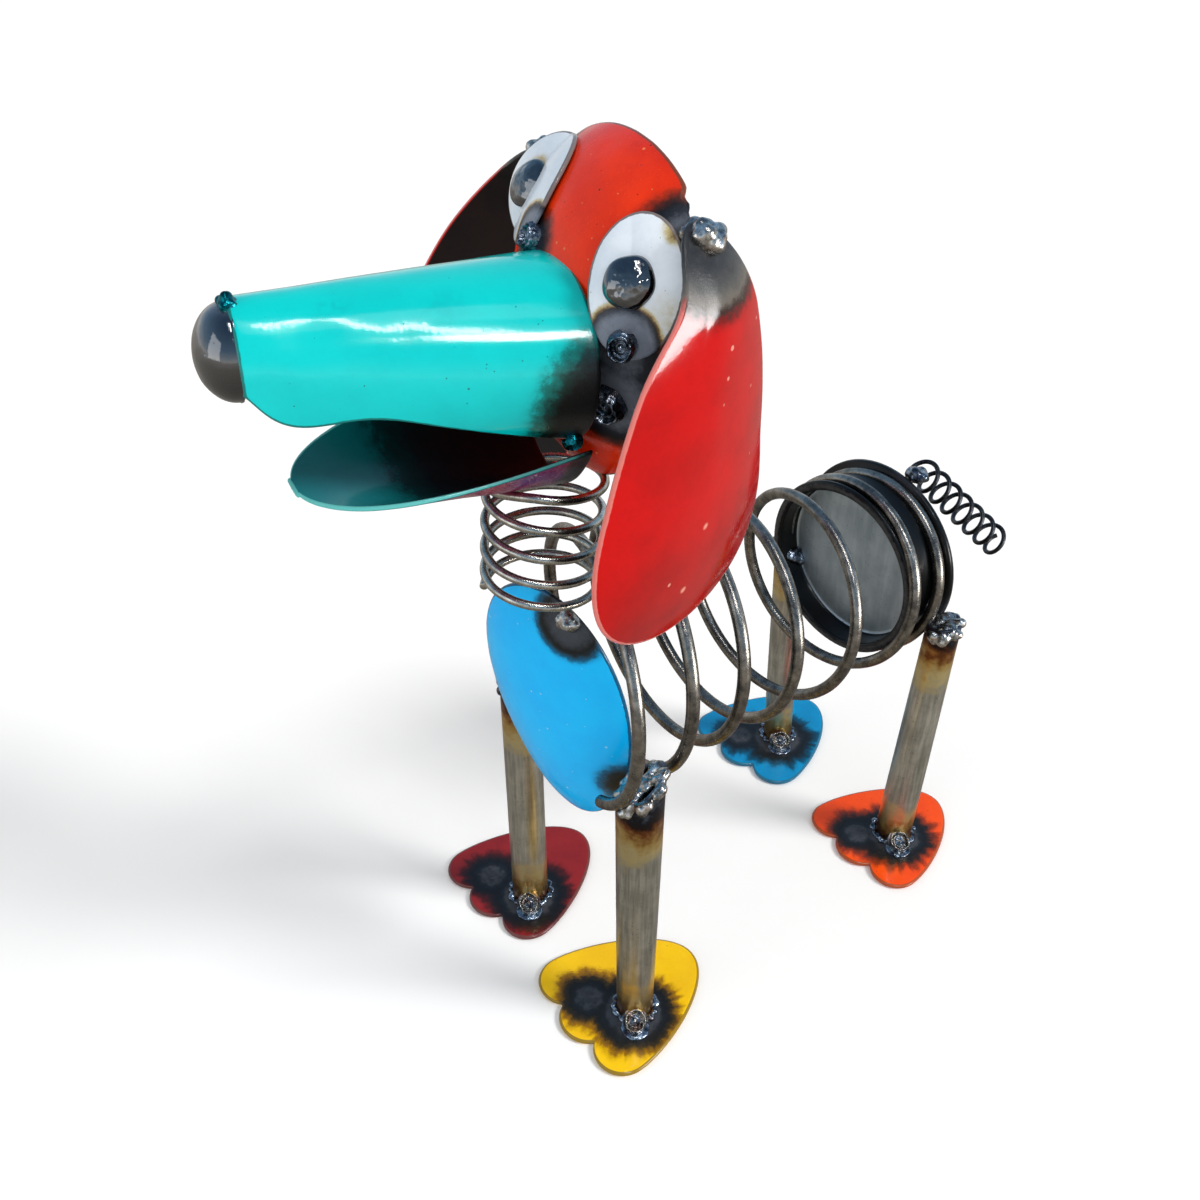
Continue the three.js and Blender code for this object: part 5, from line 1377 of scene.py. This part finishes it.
wt.links.new(m1.outputs[0], m2.inputs[1])
wt.links.new(bg_white.outputs[0], m2.inputs[2])
wt.links.new(m2.outputs[0], wo.inputs[0])


def area(name, loc, target, size, power, color=(1, 1, 1), size_y=None):
    d = bpy.data.lights.new(name, "AREA")
    d.energy, d.color = power, color
    d.shape = "RECTANGLE"
    d.size, d.size_y = size, size_y or size
    ob = bpy.data.objects.new(name, d)
    scene.collection.objects.link(ob)
    ob.location = Vector(loc)
    ob.rotation_euler = (Vector(target) - Vector(loc)).to_track_quat("-Z", "Y").to_euler()
    return ob


CAM_AZ, CAM_EL = 52.354 * DEG, 36.737 * DEG
back = np.array([math.sin(CAM_AZ) * math.cos(CAM_EL), -math.cos(CAM_AZ) * math.cos(CAM_EL), math.sin(CAM_EL)])
right = np.array([math.cos(CAM_AZ), math.sin(CAM_AZ), 0.0])
up = np.cross(back, right)
flat_back = unit(np.array([back[0], back[1], 0]))
mid = np.array([0, 0, 0.17])


def around(r, b, h):
    """A point r to the image right, b toward the camera over the ground, h up, from the middle."""
    return tuple(mid + right * r + flat_back * b + np.array([0, 0, h]))




CAM = metres([272.6, -307.4, 444.0])


def seen(sheet, px, py):
    """The outer point of a sheet nearest to a place in the 1200-wide picture, with its normal."""
    P = metres(sheet.verts)
    v = P - CAM
    d = -(v @ back)
    x, y = 600 + 1198.4 * (v @ right) / d, 600 - 1198.4 * (v @ up) / d
    ok = (sheet.side < 0.01) & ((sheet.normal * v).sum(1) < 0)
    k = np.argmin(np.hypot(x - px, y - py) + np.where(ok, 0, 1e6))
    return P[k], sheet.normal[k]


def mirror_spot(sheet, px, py, dist):
    p, n = seen(sheet, px, py)
    v = unit(p - CAM)
    return p + (v - 2 * (v @ n) * n) * dist, p


def panel(name, centre, along, target, size, power, color=(1, 1, 1)):
    d = bpy.data.lights.new(name, "AREA")
    d.energy, d.color, d.shape = power, color, "RECTANGLE"
    d.size, d.size_y = size
    ob = bpy.data.objects.new(name, d)
    scene.collection.objects.link(ob)
    z = unit(np.asarray(centre) - target)
    x = unit(np.asarray(along) - (np.asarray(along) @ z) * z)
    y = np.cross(z, x)
    ob.matrix_world = Matrix(((x[0], y[0], z[0], centre[0]), (x[1], y[1], z[1], centre[1]), (x[2], y[2], z[2], centre[2]), (0, 0, 0, 1)))
    ob.visible_diffuse = False
    return ob


A, pa = mirror_spot(SNOUT_SHEET, 275, 322, 1.1)
B, pb = mirror_spot(SNOUT_SHEET, 536, 336, 1.1)
panel("snout_strip", (A + B) / 2, B - A, (pa + pb) / 2, (float(np.linalg.norm(B - A)), 0.045), 2.6)
panel("snout_patch", B, B - A, pb, (0.16, 0.17), 2.4)
E, pe = mirror_spot(EAR_SHEET, 712, 316, 1.1)
panel("ear_window", E, right, pe, (0.46, 0.30), 9.5)
area("fill_left", around(-1.3, 0.9, 0.6), mid, 1.0, 3.4)
area("fill_top", around(0.1, 0.25, 1.6), mid, 0.5, 0.8)
sun_d = bpy.data.lights.new("soft_sun", "SUN")
sun_d.energy, sun_d.angle, sun_d.color = 2.2, 18 * DEG, (1.0, 0.985, 0.96)
sun = bpy.data.objects.new("soft_sun", sun_d)
scene.collection.objects.link(sun)
sun.rotation_euler = Vector(mid - np.array(around(1.15, 0.30, 0.95))).to_track_quat("-Z", "Y").to_euler()
sun.visible_glossy = False

cam_d = bpy.data.cameras.new("camera")
cam_d.lens, cam_d.sensor_width, cam_d.sensor_fit = 35.95, 36.0, "HORIZONTAL"
cam = bpy.data.objects.new("camera", cam_d)
scene.collection.objects.link(cam)
rot = Matrix(((right[0], up[0], back[0]), (right[1], up[1], back[1]), (right[2], up[2], back[2]))).to_4x4()
cam.matrix_world = Matrix.Translation(Vector(metres([272.6, -307.4, 444.0]))) @ rot
scene.camera = cam
cam_d.clip_start = 0.01

scene.view_settings.view_transform = "Standard"
scene.view_settings.look = "None"
